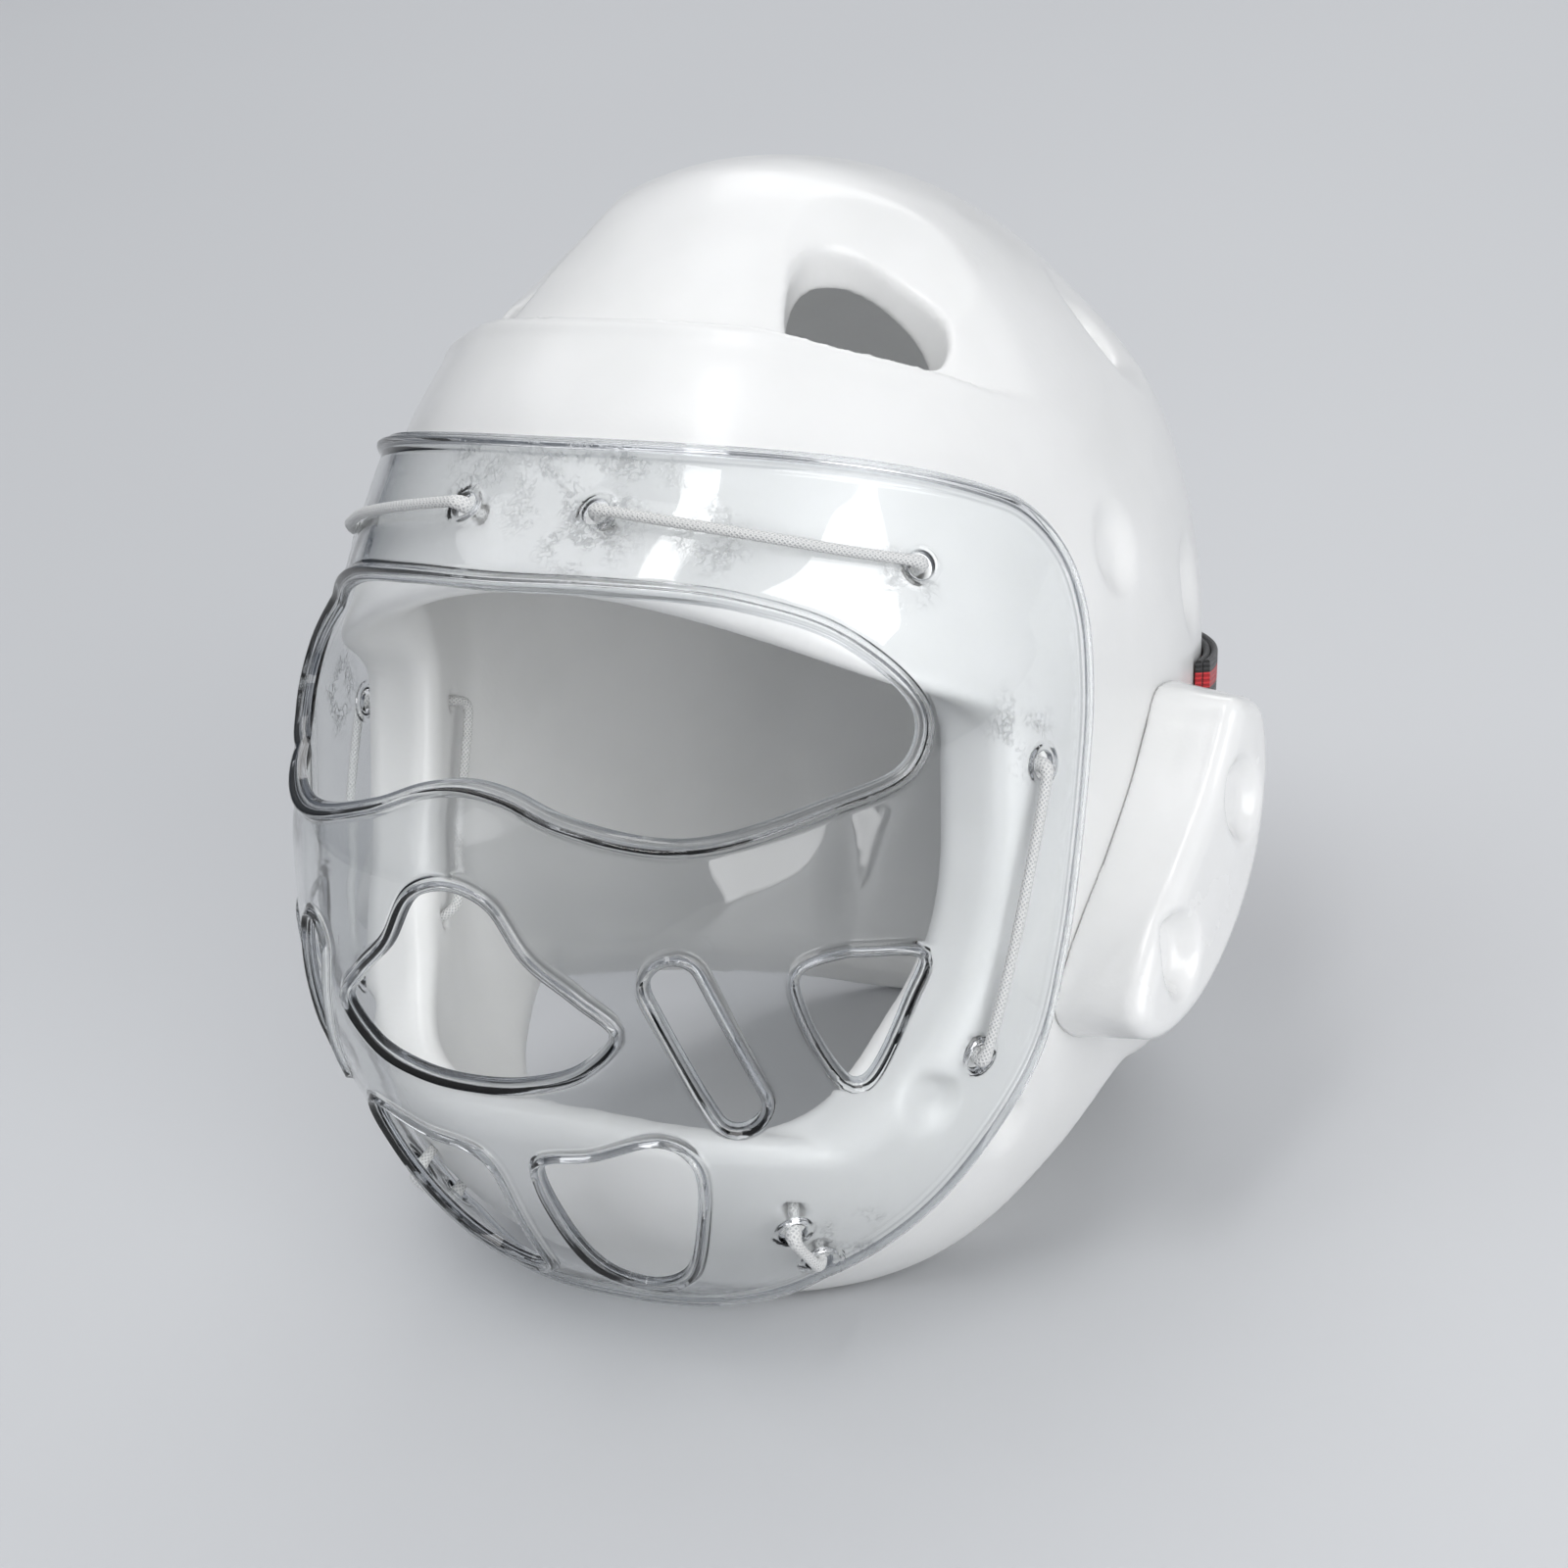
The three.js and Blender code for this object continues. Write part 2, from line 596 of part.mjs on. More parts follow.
// The face opening: a profile in the plane of symmetry, cut from side to side, with an arched brow
function faceCutter() {
  const far = -2 * FRONT_REACH;
  const rimTop = BROW_HEIGHT - OPENING_ROUNDING;
  const rimBottom = rimTop - OPENING_ROUNDING;
  const profile = new THREE.Shape();
  profile.moveTo(far, BROW_HEIGHT);
  profile.lineTo(CHEEK_RIM - OPENING_ROUNDING, BROW_HEIGHT);
  profile.quadraticCurveTo(CHEEK_RIM, BROW_HEIGHT, CHEEK_RIM, rimTop);
  profile.lineTo(CHEEK_RIM, rimBottom);
  profile.quadraticCurveTo(CHEEK_RIM, (rimBottom + CHIN_BAR_TOP) / 2, CHIN_BAR_BACK, CHIN_BAR_TOP);
  profile.lineTo(far, CHIN_BAR_TOP);
  const slab = new THREE.ExtrudeGeometry(profile, {
    depth: 2,
    steps: BROW_STEPS,
    bevelEnabled: false,
    curveSegments: 5,
  });
  const position = slab.attributes.position;
  for (let i = 0; i < position.count; i++) {
    const across = position.getZ(i) - 1;
    const back = position.getX(i);
    const height = position.getY(i);
    const arch = height > rimTop ? BROW_ARCH * across * across : 0;
    position.setXYZ(i, across * CUTTER_REACH * HALF_WIDTH, back, height - arch);
  }
  return solidFromGeometry(slab);
}

// The slit at the nape, with a round top
function slitCutter() {
  const half = SLIT_WIDTH / 2;
  const outline = new THREE.Shape();
  outline.moveTo(-half, -2 * JAW_DEPTH);
  outline.lineTo(half, -2 * JAW_DEPTH);
  outline.lineTo(half, SLIT_TOP - half);
  outline.absarc(0, SLIT_TOP - half, half, 0, Math.PI, false);
  const slab = new THREE.ExtrudeGeometry(outline, {
    depth: BACK_REACH,
    bevelEnabled: false,
    curveSegments: 8,
  });
  slab.rotateX(Math.PI / 2);
  slab.translate(0, BACK_REACH + BACK_REACH / 2, 0);
  return solidFromGeometry(slab);
}

// A smooth hollow pressed into a surface: an ellipsoid that dips half its own reach below it
function hollow(centre, inward, wide, tall, depth) {
  const reach = 2 * depth;
  const spread = 1 / Math.sqrt(1 - (depth / reach) ** 2);
  const ball = new THREE.SphereGeometry(1, 10, 6);
  ball.scale(wide * spread, tall * spread, reach);
  const up = new THREE.Vector3(0, 0, 1);
  const across = new THREE.Vector3().crossVectors(up, inward).normalize();
  const along = new THREE.Vector3().crossVectors(inward, across);
  ball.applyMatrix4(new THREE.Matrix4().makeBasis(across, along, inward));
  const middle = centre.clone().addScaledVector(inward, depth - reach);
  ball.translate(middle.x, middle.y, middle.z);
  return solidFromGeometry(ball);
}

function surfaceNormal(radiusAt, azimuth, elevation) {
  const east = place(azimuth + 1, elevation, radiusAt(azimuth + 1, elevation));
  const west = place(azimuth - 1, elevation, radiusAt(azimuth - 1, elevation));
  const north = place(azimuth, elevation + 1, radiusAt(azimuth, elevation + 1));
  const south = place(azimuth, elevation - 1, radiusAt(azimuth, elevation - 1));
  return new THREE.Vector3().crossVectors(east.sub(west), north.sub(south)).normalize();
}

function dimpleCutters() {
  return [1, -1].flatMap((side) => DIMPLES.map(({ azimuth, elevation, wide, tall }) => {
    const centre = place(side * azimuth, elevation, shellRadius(azimuth, elevation));
    const inward = surfaceNormal(shellRadius, side * azimuth, elevation).negate();
    return hollow(centre, inward, wide * DIMPLE_SIZE, tall * DIMPLE_SIZE, DIMPLE_DEPTH);
  }));
}

function ventCutters() {
  const front = smoothOutline(FRONT_VENT, VENT_SIDES);
  const rear = ovalOutline(
    REAR_VENT, REAR_VENT_HALF_WIDTH, REAR_VENT_HALF_HEIGHT, CROWN_HEIGHT, REAR_VENT_SIDES,
  );
  return [front, flipped(front), rear, flipped(rear)]
    .map((outline) => radialCutter(outline, CROWN_HEIGHT / 2, CUTTER_REACH * CROWN_HEIGHT));
}

// Laces: each one a loop that runs outside the shield and back inside the foam
const laceClear = LACE_DIAMETER / 2 + SEAT_GAP;
const laceNames = [...new Set(LACE_HOLES.map(({ lace }) => lace))];
const holesOf = (name) => LACE_HOLES.filter(({ lace }) => lace === name);

function laceRoute([from, to]) {
  const outside = (azimuth, elevation) => {
    return shieldRadius(azimuth, elevation) + SHIELD_THICKNESS + laceClear + SEAT_GAP;
  };
  const inside = (azimuth, elevation) => shellRadius(azimuth, elevation) - WALL - laceClear - LACE_SLACK;
  const toward = ({ azimuth, elevation }) => place(azimuth, elevation, FRONT_REACH);
  const steps = Math.max(2, Math.round(toward(from).distanceTo(toward(to)) / LACE_STEP));
  const places = Array.from({ length: steps + 1 }, (_, i) => [
    THREE.MathUtils.lerp(from.azimuth, to.azimuth, i / steps),
    THREE.MathUtils.lerp(from.elevation, to.elevation, i / steps),
  ]);
  const way = places.map((at) => place(...at, outside(...at)));
  const wayBack = places.reverse().map((at) => place(...at, inside(...at)));
  return [...way, ...wayBack];
}

// The sharp corners of a lace's route rounded off, without leaving its holes
function rounded(route) {
  const straight = rad(140);
  const reachAlong = (corner, arm) => Math.min(LACE_BEND, 0.45 * arm.length());
  return route.flatMap((point, i) => {
    const back = route[(i + route.length - 1) % route.length].clone().sub(point);
    const ahead = route[(i + 1) % route.length].clone().sub(point);
    if (back.angleTo(ahead) > straight) {
      return [point];
    }
    const start = point.clone().add(back.clone().setLength(reachAlong(point, back)));
    const end = point.clone().add(ahead.clone().setLength(reachAlong(point, ahead)));
    return new THREE.QuadraticBezierCurve3(start, point, end).getPoints(2);
  });
}

function laceSolid(name) {
  const points = rounded(laceRoute(holesOf(name)));
  const middle = middleOf(points);
  const outward = points.map((point) => point.clone().sub(middle));
  return beadLoop(points, outward, LACE_DIAMETER, LACE_SIDES);
}

function laceDrills() {
  const half = LACE_DIAMETER / 2 + LACE_PLAY;
  return LACE_HOLES.flatMap((hole) => {
    const radius = shellRadius(hole.azimuth, hole.elevation);
    const outline = ovalOutline(hole, half, half, radius, HOLE_SIDES);
    return [outline, flipped(outline)].map((each) => radialCutter(each, FRONT_REACH / 2, 2 * FRONT_REACH));
  });
}

function foamShell() {
  const cutters = [faceCutter(), slitCutter(), ...ventCutters(), ...dimpleCutters(), ...laceDrills()];
  return foamBlank().subtract(joined(cutters));
}

// Ear pads
const padReach = HALF_WIDTH + PAD_PROUD;
const padPoint = (back, up, reach) => {
  return new THREE.Vector3(reach, PAD_BACK + back * PAD_HALF_LENGTH, up * PAD_HALF_HEIGHT - PAD_DROP);
};

function padSolid() {
  const outlineOf = (back, up) => {
    const points = PAD_OUTLINE.map((row) => padPoint(row[back], row[up], 0));
    return new THREE.CatmullRomCurve3(points, true, 'centripetal').getPoints(PAD_SIDES).slice(0, -1);
  };
  const face = outlineOf('faceBack', 'faceUp');
  const root = outlineOf('rootBack', 'rootUp');
  const middle = middleOf(face);
  const rootReach = HALF_WIDTH - WALL;
  const edge = padReach - PAD_ROUNDING;
  const rings = [
    root.map((point) => point.clone().setX(rootReach)),
    face.map((point) => point.clone().setX(edge)),
  ];
  PAD_EDGE_TURNS.forEach((turn) => {
    const inset = PAD_ROUNDING * (1 - Math.cos(rad(turn)));
    rings.push(face.map((point) => {
      const at = point.clone().addScaledVector(middle.clone().sub(point).normalize(), inset);
      return at.setX(edge + PAD_ROUNDING * Math.sin(rad(turn)));
    }));
  });
  return ringSolid(rings, middle.clone().setX(rootReach), middle.clone().setX(padReach));
}

// The space that the shell fills, a little larger, for cutting what is glued to it
function shellEnvelope(gap) {
  const grow = (azimuth, elevation) => shellRadius(azimuth, elevation) + gap;
  const count = AZIMUTH_STEPS / 2;
  const rings = Array.from({ length: count }, (_, i) => {
    const elevation = 90 - (180 * (i + 1)) / (count + 1);
    return shellRing(() => elevation, grow);
  });
  return ringSolid(rings, new THREE.Vector3(0, 0, grow(0, 90)), new THREE.Vector3(0, 0, -grow(0, -90)));
}

function earPad() {
  const inward = new THREE.Vector3(-1, 0, 0);
  const dents = PAD_DENTS.map(({ back, up, wide, tall }) => {
    const centre = padPoint(back, up, padReach);
    return hollow(centre, inward, wide * PAD_HALF_LENGTH, tall * PAD_HALF_HEIGHT, PAD_DENT_DEPTH);
  });
  return padSolid().subtract(shellEnvelope(2 * SEAT_GAP)).subtract(joined(dents));
}

function mirrorX(solid) {
  const mesh = solid.getMesh();
  const vertProperties = mesh.vertProperties.map((value, i) => (i % 3 === 0 ? -value : value));
  const triVerts = new Uint32Array(mesh.triVerts).reverse();
  return new wasm.Manifold(new wasm.Mesh({ numProp: 3, vertProperties, triVerts }));
}

// Face shield
const shieldOutside = (azimuth, elevation) => shieldRadius(azimuth, elevation) + SHIELD_THICKNESS;
const shieldEdge = smoothOutline(mirrored(SHIELD_EDGE), SHIELD_SIDES);
const eyeOutline = smoothOutline(mirrored(EYE_OPENING), EYE_SIDES);

function shieldBlank() {
  const centre = [SHIELD_CENTRE.azimuth, SHIELD_CENTRE.elevation];
  const ringAt = (row, radiusAt) => shieldEdge.map((edge) => {
    const at = edge.map((angle, axis) => THREE.MathUtils.lerp(centre[axis], angle, row / SHIELD_RINGS));
    return place(...at, radiusAt(...at));
  });
  const rows = Array.from({ length: SHIELD_RINGS }, (_, i) => i + 1);
  const outer = rows.map((row) => ringAt(row, shieldOutside));
  const inner = rows.reverse().map((row) => ringAt(row, shieldRadius));
  const start = place(...centre, shieldOutside(...centre));
  const end = place(...centre, shieldRadius(...centre));
  return ringSolid([...outer, ...inner], start, end);
}

function shieldRim(outline, width) {
  const lift = Math.max(width, SHIELD_THICKNESS) / 2;
  const points = outline.map((at) => place(...at, shieldRadius(...at) + lift));
  const outward = outline.map((at) => surfaceNormal(shieldRadius, ...at));
  return beadLoop(points, outward, width, RIM_SIDES);
}

function faceShield() {
  const pairs = [
    slotOutline(SLOT_ENDS, SLOT_WIDTH),
    smoothOutline(TRIANGLE, TRIANGLE_SIDES),
    smoothOutline(CHIN_VENT, CHIN_VENT_SIDES),
  ].flatMap((outline) => [outline, flipped(outline)]);
  const openings = [eyeOutline, smoothOutline(mirrored(MOUTH_VENT), MOUTH_SIDES), ...pairs];
  const cutters = openings.map((outline) => radialCutter(outline, FRONT_REACH / 2, 2 * FRONT_REACH));
  const sheet = shieldBlank().subtract(joined([...cutters, ...laceDrills()]));
  return sheet.add(shieldRim(shieldEdge, RIM_WIDTH)).add(shieldRim(eyeOutline, EYE_RIM_WIDTH));
}

// Elastic strap across the back: a curved band, so many steps long from where it starts
const padBackEdge = PAD_BACK + PAD_HALF_LENGTH * Math.max(...PAD_OUTLINE.map(({ rootBack }) => rootBack));
const strapStart = 90 + deg(Math.atan2(padBackEdge + STRAP_CLEARANCE, HALF_WIDTH));
const strapStep = (360 - 2 * strapStart) / STRAP_STEPS;
const strapLift = 2 * SEAT_GAP;
const overlapLift = strapLift + STRAP_THICKNESS + SEAT_GAP;
const overlapSteps = Math.round(OVERLAP_LENGTH / (BACK_REACH * rad(strapStep)));

function strapBand(steps, lift) {
  const heights = Array.from({ length: STRAP_ROWS + 1 }, (_, row) => {
    return (row / STRAP_ROWS - 0.5) * STRAP_WIDTH - STRAP_DROP;
  });
  const face = (azimuth, height, out) => {
    const elevation = deg(Math.asin(height / BACK_REACH));
    return place(azimuth, elevation, shellRadius(azimuth, elevation) + lift + out);
  };
  const rings = Array.from({ length: steps + 1 }, (_, i) => {
    const azimuth = strapStart + i * strapStep;
    const inner = heights.map((height) => face(azimuth, height, 0));
    const outer = heights.map((height) => face(azimuth, height, STRAP_THICKNESS));
    return [...inner, ...outer.reverse()];
  });
  return ringSolid(rings, middleOf(rings[0]), middleOf(rings[steps]));
}

// All pieces in the head frame
const shellSolid = foamShell();
const padLeft = earPad();
const laces = laceNames.flatMap((name) => {
  const lace = laceSolid(name);
  return [[`lace_${name}_left`, lace, LACE_FINISH], [`lace_${name}_right`, mirrorX(lace), LACE_FINISH]];
});
const pieces = [
  ['headgear_shell', shellSolid, FOAM_FINISH],
  ['ear_pad_left', padLeft, FOAM_FINISH],
  ['ear_pad_right', mirrorX(padLeft), FOAM_FINISH],
  ['face_shield', faceShield(), CLEAR_FINISH],
  ['rear_strap', strapBand(STRAP_STEPS, strapLift), STRAP_FINISH],
  ['strap_overlap', strapBand(overlapSteps, overlapLift), STRAP_FINISH],
  ...laces,
];

// The line on which the headgear rests: the lowest side of its profile under its middle
function restingLine(solids) {
  const profile = solids.flatMap((solid) => {
    const values = solid.getMesh().vertProperties;
    return Array.from({ length: values.length / 3 }, (_, i) => [values[3 * i + 1], values[3 * i + 2]]);
  });
  profile.sort((a, b) => a[0] - b[0]);
  const hull = [];
  profile.forEach((point) => {
    while (hull.length > 1) {
      const [first, second] = hull.slice(-2);
      const slopeTo = (end) => (end[1] - first[1]) / (end[0] - first[0]);
      if (slopeTo(point) > slopeTo(second)) {
        break;
      }
      hull.pop();
    }
    hull.push(point);
  });
  const under = hull.findIndex((point) => point[0] > 0);
  return [hull[under - 1], hull[under]];
}

const [chin, nape] = restingLine(pieces.map(([, solid]) => solid));
const tilt = -Math.atan2(nape[1] - chin[1], nape[0] - chin[0]);
const toFloor = new THREE.Matrix4().makeRotationX(tilt);

// The foam is pressed flat where it rests
const lowest = new THREE.Vector3(0, ...chin).applyMatrix4(toFloor).z;
const floorSlab = new THREE.BoxGeometry(4 * HALF_WIDTH, 4 * BACK_REACH, BACK_REACH);
floorSlab.translate(0, 0, lowest + REST_FLAT - BACK_REACH / 2);
floorSlab.applyMatrix4(toFloor.clone().invert());
const floorCutter = solidFromGeometry(floorSlab);

const headgear = new THREE.Group();
const inHeadFrame = new THREE.Group();
inHeadFrame.rotation.x = tilt;
headgear.add(inHeadFrame);
pieces.forEach(([name, solid, finish]) => {
  const rested = name === 'headgear_shell' ? solid.subtract(floorCutter) : solid;
  const mesh = new THREE.Mesh(geometryOf(rested), new THREE.MeshStandardMaterial(finish));
  mesh.name = name;
  inHeadFrame.add(mesh);
});

// The origin is on the floor under the middle of the headgear
headgear.updateMatrixWorld(true);
const extent = new THREE.Box3().setFromObject(headgear, true);
inHeadFrame.position.set(
  -(extent.min.x + extent.max.x) / 2,
  -(extent.min.y + extent.max.y) / 2,
  -extent.min.z,
);

export default headgear;
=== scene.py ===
import math

import bpy
import numpy as np
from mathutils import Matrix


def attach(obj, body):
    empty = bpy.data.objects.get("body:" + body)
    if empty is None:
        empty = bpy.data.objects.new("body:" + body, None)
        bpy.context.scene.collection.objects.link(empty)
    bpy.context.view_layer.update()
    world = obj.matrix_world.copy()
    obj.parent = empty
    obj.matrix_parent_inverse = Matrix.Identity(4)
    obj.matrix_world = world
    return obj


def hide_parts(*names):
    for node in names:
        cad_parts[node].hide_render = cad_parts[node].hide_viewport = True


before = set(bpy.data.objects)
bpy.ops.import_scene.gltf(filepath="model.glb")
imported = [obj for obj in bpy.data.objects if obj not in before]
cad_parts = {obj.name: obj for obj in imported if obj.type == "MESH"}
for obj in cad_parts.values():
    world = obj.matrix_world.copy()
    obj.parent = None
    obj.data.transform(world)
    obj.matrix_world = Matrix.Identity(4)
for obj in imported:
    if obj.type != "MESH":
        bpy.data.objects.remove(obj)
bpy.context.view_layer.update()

import openvdb
from mathutils import Matrix, Vector
from mathutils.geometry import delaunay_2d_cdt

# Millimetres in the head frame: origin in the middle of the shell, +X to the wearer's left, -Y to
# the front, +Z up. Azimuth 0 is the front and 90 the wearer's left; elevation 90 is the crown.
MM = 0.001

# Where the head frame lies when the headgear rests on the floor
REST_TILT = -19.97870
REST_PLACE = (0.0, 6.5037, 113.6077)
REST_FLAT_ROUNDING = 2.0
FLOOR_HALF = 8.0

# The photograph's camera in the head frame, and in metres the place that the lights look at
CAMERA = {"azimuth": 34.0, "elevation": 8.6, "distance": 1000.0, "right": 1.18, "up": -20.7}
CAMERA_LENS = 95.625
CAMERA_SENSOR = 36.0
LIGHT_AIM = (0.0, 0.0, 0.11)

# Foam shell
HALF_WIDTH = 95.0
FRONT_REACH = 102.0
BACK_REACH = 114.0
CROWN_HEIGHT = 129.0
JAW_DEPTH = 142.0
WALL = 16.0
BACK_FULLNESS = 2.05
DOME_FULLNESS = 2.17
JAW_FULLNESS = 3.0
HEM_ROUNDING = 5.0
RIM_ROUNDING = 7.0
VENT_ROUNDING = 1.6
SLIT_ROUNDING = 3.5
HOLE_ROUNDING = 0.8
LEDGE_DEPTH = 4.5
LEDGE_BEAD = 0.8
LEDGE_FADE = 28.0
LEDGE_EDGE = 0.6
LEDGE_BEAD_DROP = 1.5
SCOOP_DEPTH = 7.0
SCOOP_RADIUS = 32.0
REAR_SCOOP_DEPTH = 5.0
REAR_SCOOP_RADIUS = 25.0
REAR_VENT_HALF = (14.0, 11.0)
DIMPLE_SIZE = 10.0
DIMPLE_DEPTH = 3.5
BROW_HEIGHT = 27.0
BROW_ARCH = 56.0
BROW_RISE = 6.0
BROW_SPREAD = 1.4 * HALF_WIDTH
BROW_FADE = 10.0
CHEEK_RIM = -46.0
CHIN_BAR_TOP = -86.0
CHIN_BAR_BACK = -72.0
CHEEK_EXTRA = 7.0
CHEEK_FADE = 30.0
OPENING_ROUNDING = 22.0
SLIT_HALF = 6.0
SLIT_TOP = 26.0
HOLE_RADIUS = 2.5
HOLE_PLAY = 0.7
SHELL_VOXEL = 1.25
SHELL_TRIANGLES = 190000

# Ear pads
PAD_REACH = 117.0
PAD_BACK = 6.0
PAD_DROP = 31.0
PAD_HALF = (38.0, 40.0)
PAD_DRAFT_TOP = 111.0
PAD_ROUNDING = 4.8
PAD_SEAM = 0.4
PAD_CROWN = 0.7
PAD_GAP = 0.15
PAD_VOXEL = 0.9
PAD_OUTLINE_STEP = 1.5
PAD_CROWN_WIDTH = 16.0

# Face shield
SHIELD_THICKNESS = 2.0
SHIELD_GAP = 1.5
SHIELD_SPREAD = 42.0
SHIELD_BULGE = 26.0
BULGE_POWER = 1.2
SLOT_WIDTH = 11.5
SHIELD_STEP = 2.1
RIM_STEP = 1.0
RIM_LOOPS = (0.35, 0.7, 1.05, 1.4, 1.8, 2.2, 2.6, 3.0, 3.5, 4.1, 4.9)
RIM_CLEAR = 5.8
LOOP_SLACK = 0.1
# Painted shade: how far in from a cut edge the sheet's colour is darkened
CUT_SHADE_REACH = 0.4
CUT_FAR = 20.0
# Painted shade on the ridges' flanks: the height it lies at on a ridge, its half width and its strength
FLANK_HEIGHT = 0.75
FLANK_HALF = 0.5
FLANK_SHADE = 0.6
RIDGE_MARGIN = 8.0
SHIELD_CREASE = 55.0

# Laces
LACE_RADIUS = 1.3
LACE_GAP = 0.3
LACE_SLACK = 2.2
LACE_BEND = 3.0
LACE_KNOT = 0.5
LACE_KNOT_REACH = 2.4
LACE_POINTS = 40
LACE_STEP = 0.45
LACE_SIDES = 16
BRAID_PERIOD = 1.1
BRAID_STRANDS = 3
BRAID_RELIEF = 0.05

# Elastic strap
STRAP_THICKNESS = 1.6
STRAP_WIDTH = 38.0
STRAP_DROP = 7.0
STRAP_CLEARANCE = 5.5
STRAP_STEPS = 18
OVERLAP_STEPS = 6
STRAP_FINENESS = 14
STRAP_ROWS = 30
STRAP_CREASE = 60.0
STRAP_LIFT = 0.6
OVERLAP_LIFT = 2.5
STRIPE_FROM_EDGE = 5.4
STRIPE_HALF = 2.0
STRIPE_BLUR = 0.15

# Elevation, then shares of the front, side and back reach, and how square the front is in plan
SHELL_SECTIONS = [
    (90, 1.0, 1.0, 1.0, 2.0),
    (60, 0.965, 0.985, 1.0, 2.1),
    (35, 0.985, 1.0, 1.05, 2.15),
    (15, 0.98, 1.0, 1.035, 2.4),
    (0, 0.98, 1.0, 1.0, 3.2),
    (-20, 0.98, 1.0, 0.97, 3.2),
    (-43, 0.96, 1.0, 0.93, 2.8),
    (-57, 0.955, 0.99, 0.93, 2.6),
    (-75, 0.985, 0.97, 0.93, 2.4),
    (-90, 0.985, 0.97, 0.93, 2.4),
]

# Azimuth, elevation of the forehead band's top edge, and how far its step stands out
LEDGE_LINE = [
    (0, 53.5, 1), (28, 52.5, 1), (45, 49.5, 1), (62, 46.5, 1), (71, 44.5, 0.45), (82, 43, 0), (180, 39, 0),
]
# Azimuth and elevation of the lower hem
HEM_LINE = [
    (0, -75.5), (20, -74.6), (41, -71.6), (56, -68.7), (66, -64.6),
    (75, -59), (86, -51.5), (102, -43.5), (140, -43.5), (180, -45),
]
# Elevation, and the shield's bulge on the centre line as a share of its largest
SHIELD_SECTIONS = [
    (90, 0), (42, 0), (30, 0.05), (18, 0.4), (8, 0.41), (-4, 0.72),
    (-12, 1), (-30, 0.94), (-40, 0.68), (-57, 0.36), (-68, 0.06), (-90, 0),
]

# Outlines as azimuth and elevation; the first three are mirrored halves
SHIELD_EDGE = [
    (0, 36.5), (22, 36), (46, 34.5), (62, 32), (70, 29.5), (76, 24), (78.5, 17), (78.5, 7), (76.5, -10),
    (74, -25), (71, -35), (64, -43), (54, -51.5), (40, -59.5), (26, -62.8), (12, -64.3), (0, -64.6),
]
EYE_OPENING = [
    (0, 19.5), (15, 19.5), (30, 18.5), (43, 14.5), (51, 6), (49, -1),
    (38, -5.5), (25, -8.5), (12, -6.8), (5, -4.6), (0, -4),
]
MOUTH_VENT = [(0, -11.5), (5, -13), (9, -18), (14, -21.5), (18, -25), (14, -29), (7, -31), (0, -31.5)]
TRIANGLE = [(36, -20.5), (43, -19.8), (50.5, -21), (49, -25), (44.5, -33.5), (42.3, -33.5), (36.8, -25)]
CHIN_VENT = [
    (4, -41), (12, -39), (21, -36.8), (24.5, -40), (24, -47), (20, -55.5), (12, -58.5), (6, -56), (3.6, -48),
]
SLOT_ENDS = [(23.5, -20.5), (30, -33.5)]
FRONT_VENT = [(36, 52.5), (50, 51), (64, 49), (68, 52.5), (68, 58), (61, 64.5), (49, 67), (40, 65), (36, 60)]
FRONT_SCOOP = (54, 60)
REAR_VENT = (127, 49.5)

# Azimuth, elevation, half width and half height as shares of the dimples' size
DIMPLES = [
    (91, 24, 0.9, 1.1), (118, 16, 0.9, 1.2), (150, 18, 1.1, 1.4),
    (54, -38.5, 0.7, 0.7), (68, -44, 0.7, 0.7),
]

# Outline of an ear pad, in shares of its half sizes: at its outer face, then at its root
PAD_OUTLINE = [
    (0.26, 0.93, 0.26, 1), (0.58, 0.88, 0.84, 0.93), (0.68, 0.58, 0.97, 0.58),
    (0.58, 0.03, 0.87, -0.08), (0.26, -0.45, 0.53, -0.68), (-0.21, -0.8, -0.05, -1),
    (-0.66, -0.9, -0.5, -1), (-0.89, -0.75, -0.79, -0.78), (-0.76, -0.38, -0.68, -0.4),
    (-0.39, 0.03, -0.42, 0.05), (-0.05, 0.43, -0.16, 0.48), (0.16, 0.78, 0.05, 0.8),
]
# Place and half sizes of a pad's dents in the same shares, then their depth in millimetres
PAD_DENTS = [(0.29, 0.36, 0.22, 0.27, 4.0), (-0.45, -0.43, 0.22, 0.27, 6.0)]

# Lace holes on the wearer's left
LACES = {
    "forehead": ((10.5, 27.8), (52, 22.5)),
    "cheek": ((68, -2), (59.5, -33.5)),
    "chin": ((36, -50), (40.5, -55.5)),
}


# Places in the head frame
def place(azimuth, elevation, radius):
    azimuth, elevation = np.radians(azimuth), np.radians(elevation)
    flat = np.cos(elevation) * radius
    return np.stack([np.sin(azimuth) * flat, -np.cos(azimuth) * flat, np.sin(elevation) * radius], -1)


REST_TURN = np.array(Matrix.Rotation(math.radians(REST_TILT), 3, "X"))


def to_rest(points):
    """Head frame in millimetres to the floor's frame in metres."""
    return (np.asarray(points) @ REST_TURN.T + np.array(REST_PLACE)) * MM


def smoothstep(value, low, high):
    share = np.clip((value - low) / (high - low), 0, 1)
    return share * share * (3 - 2 * share)


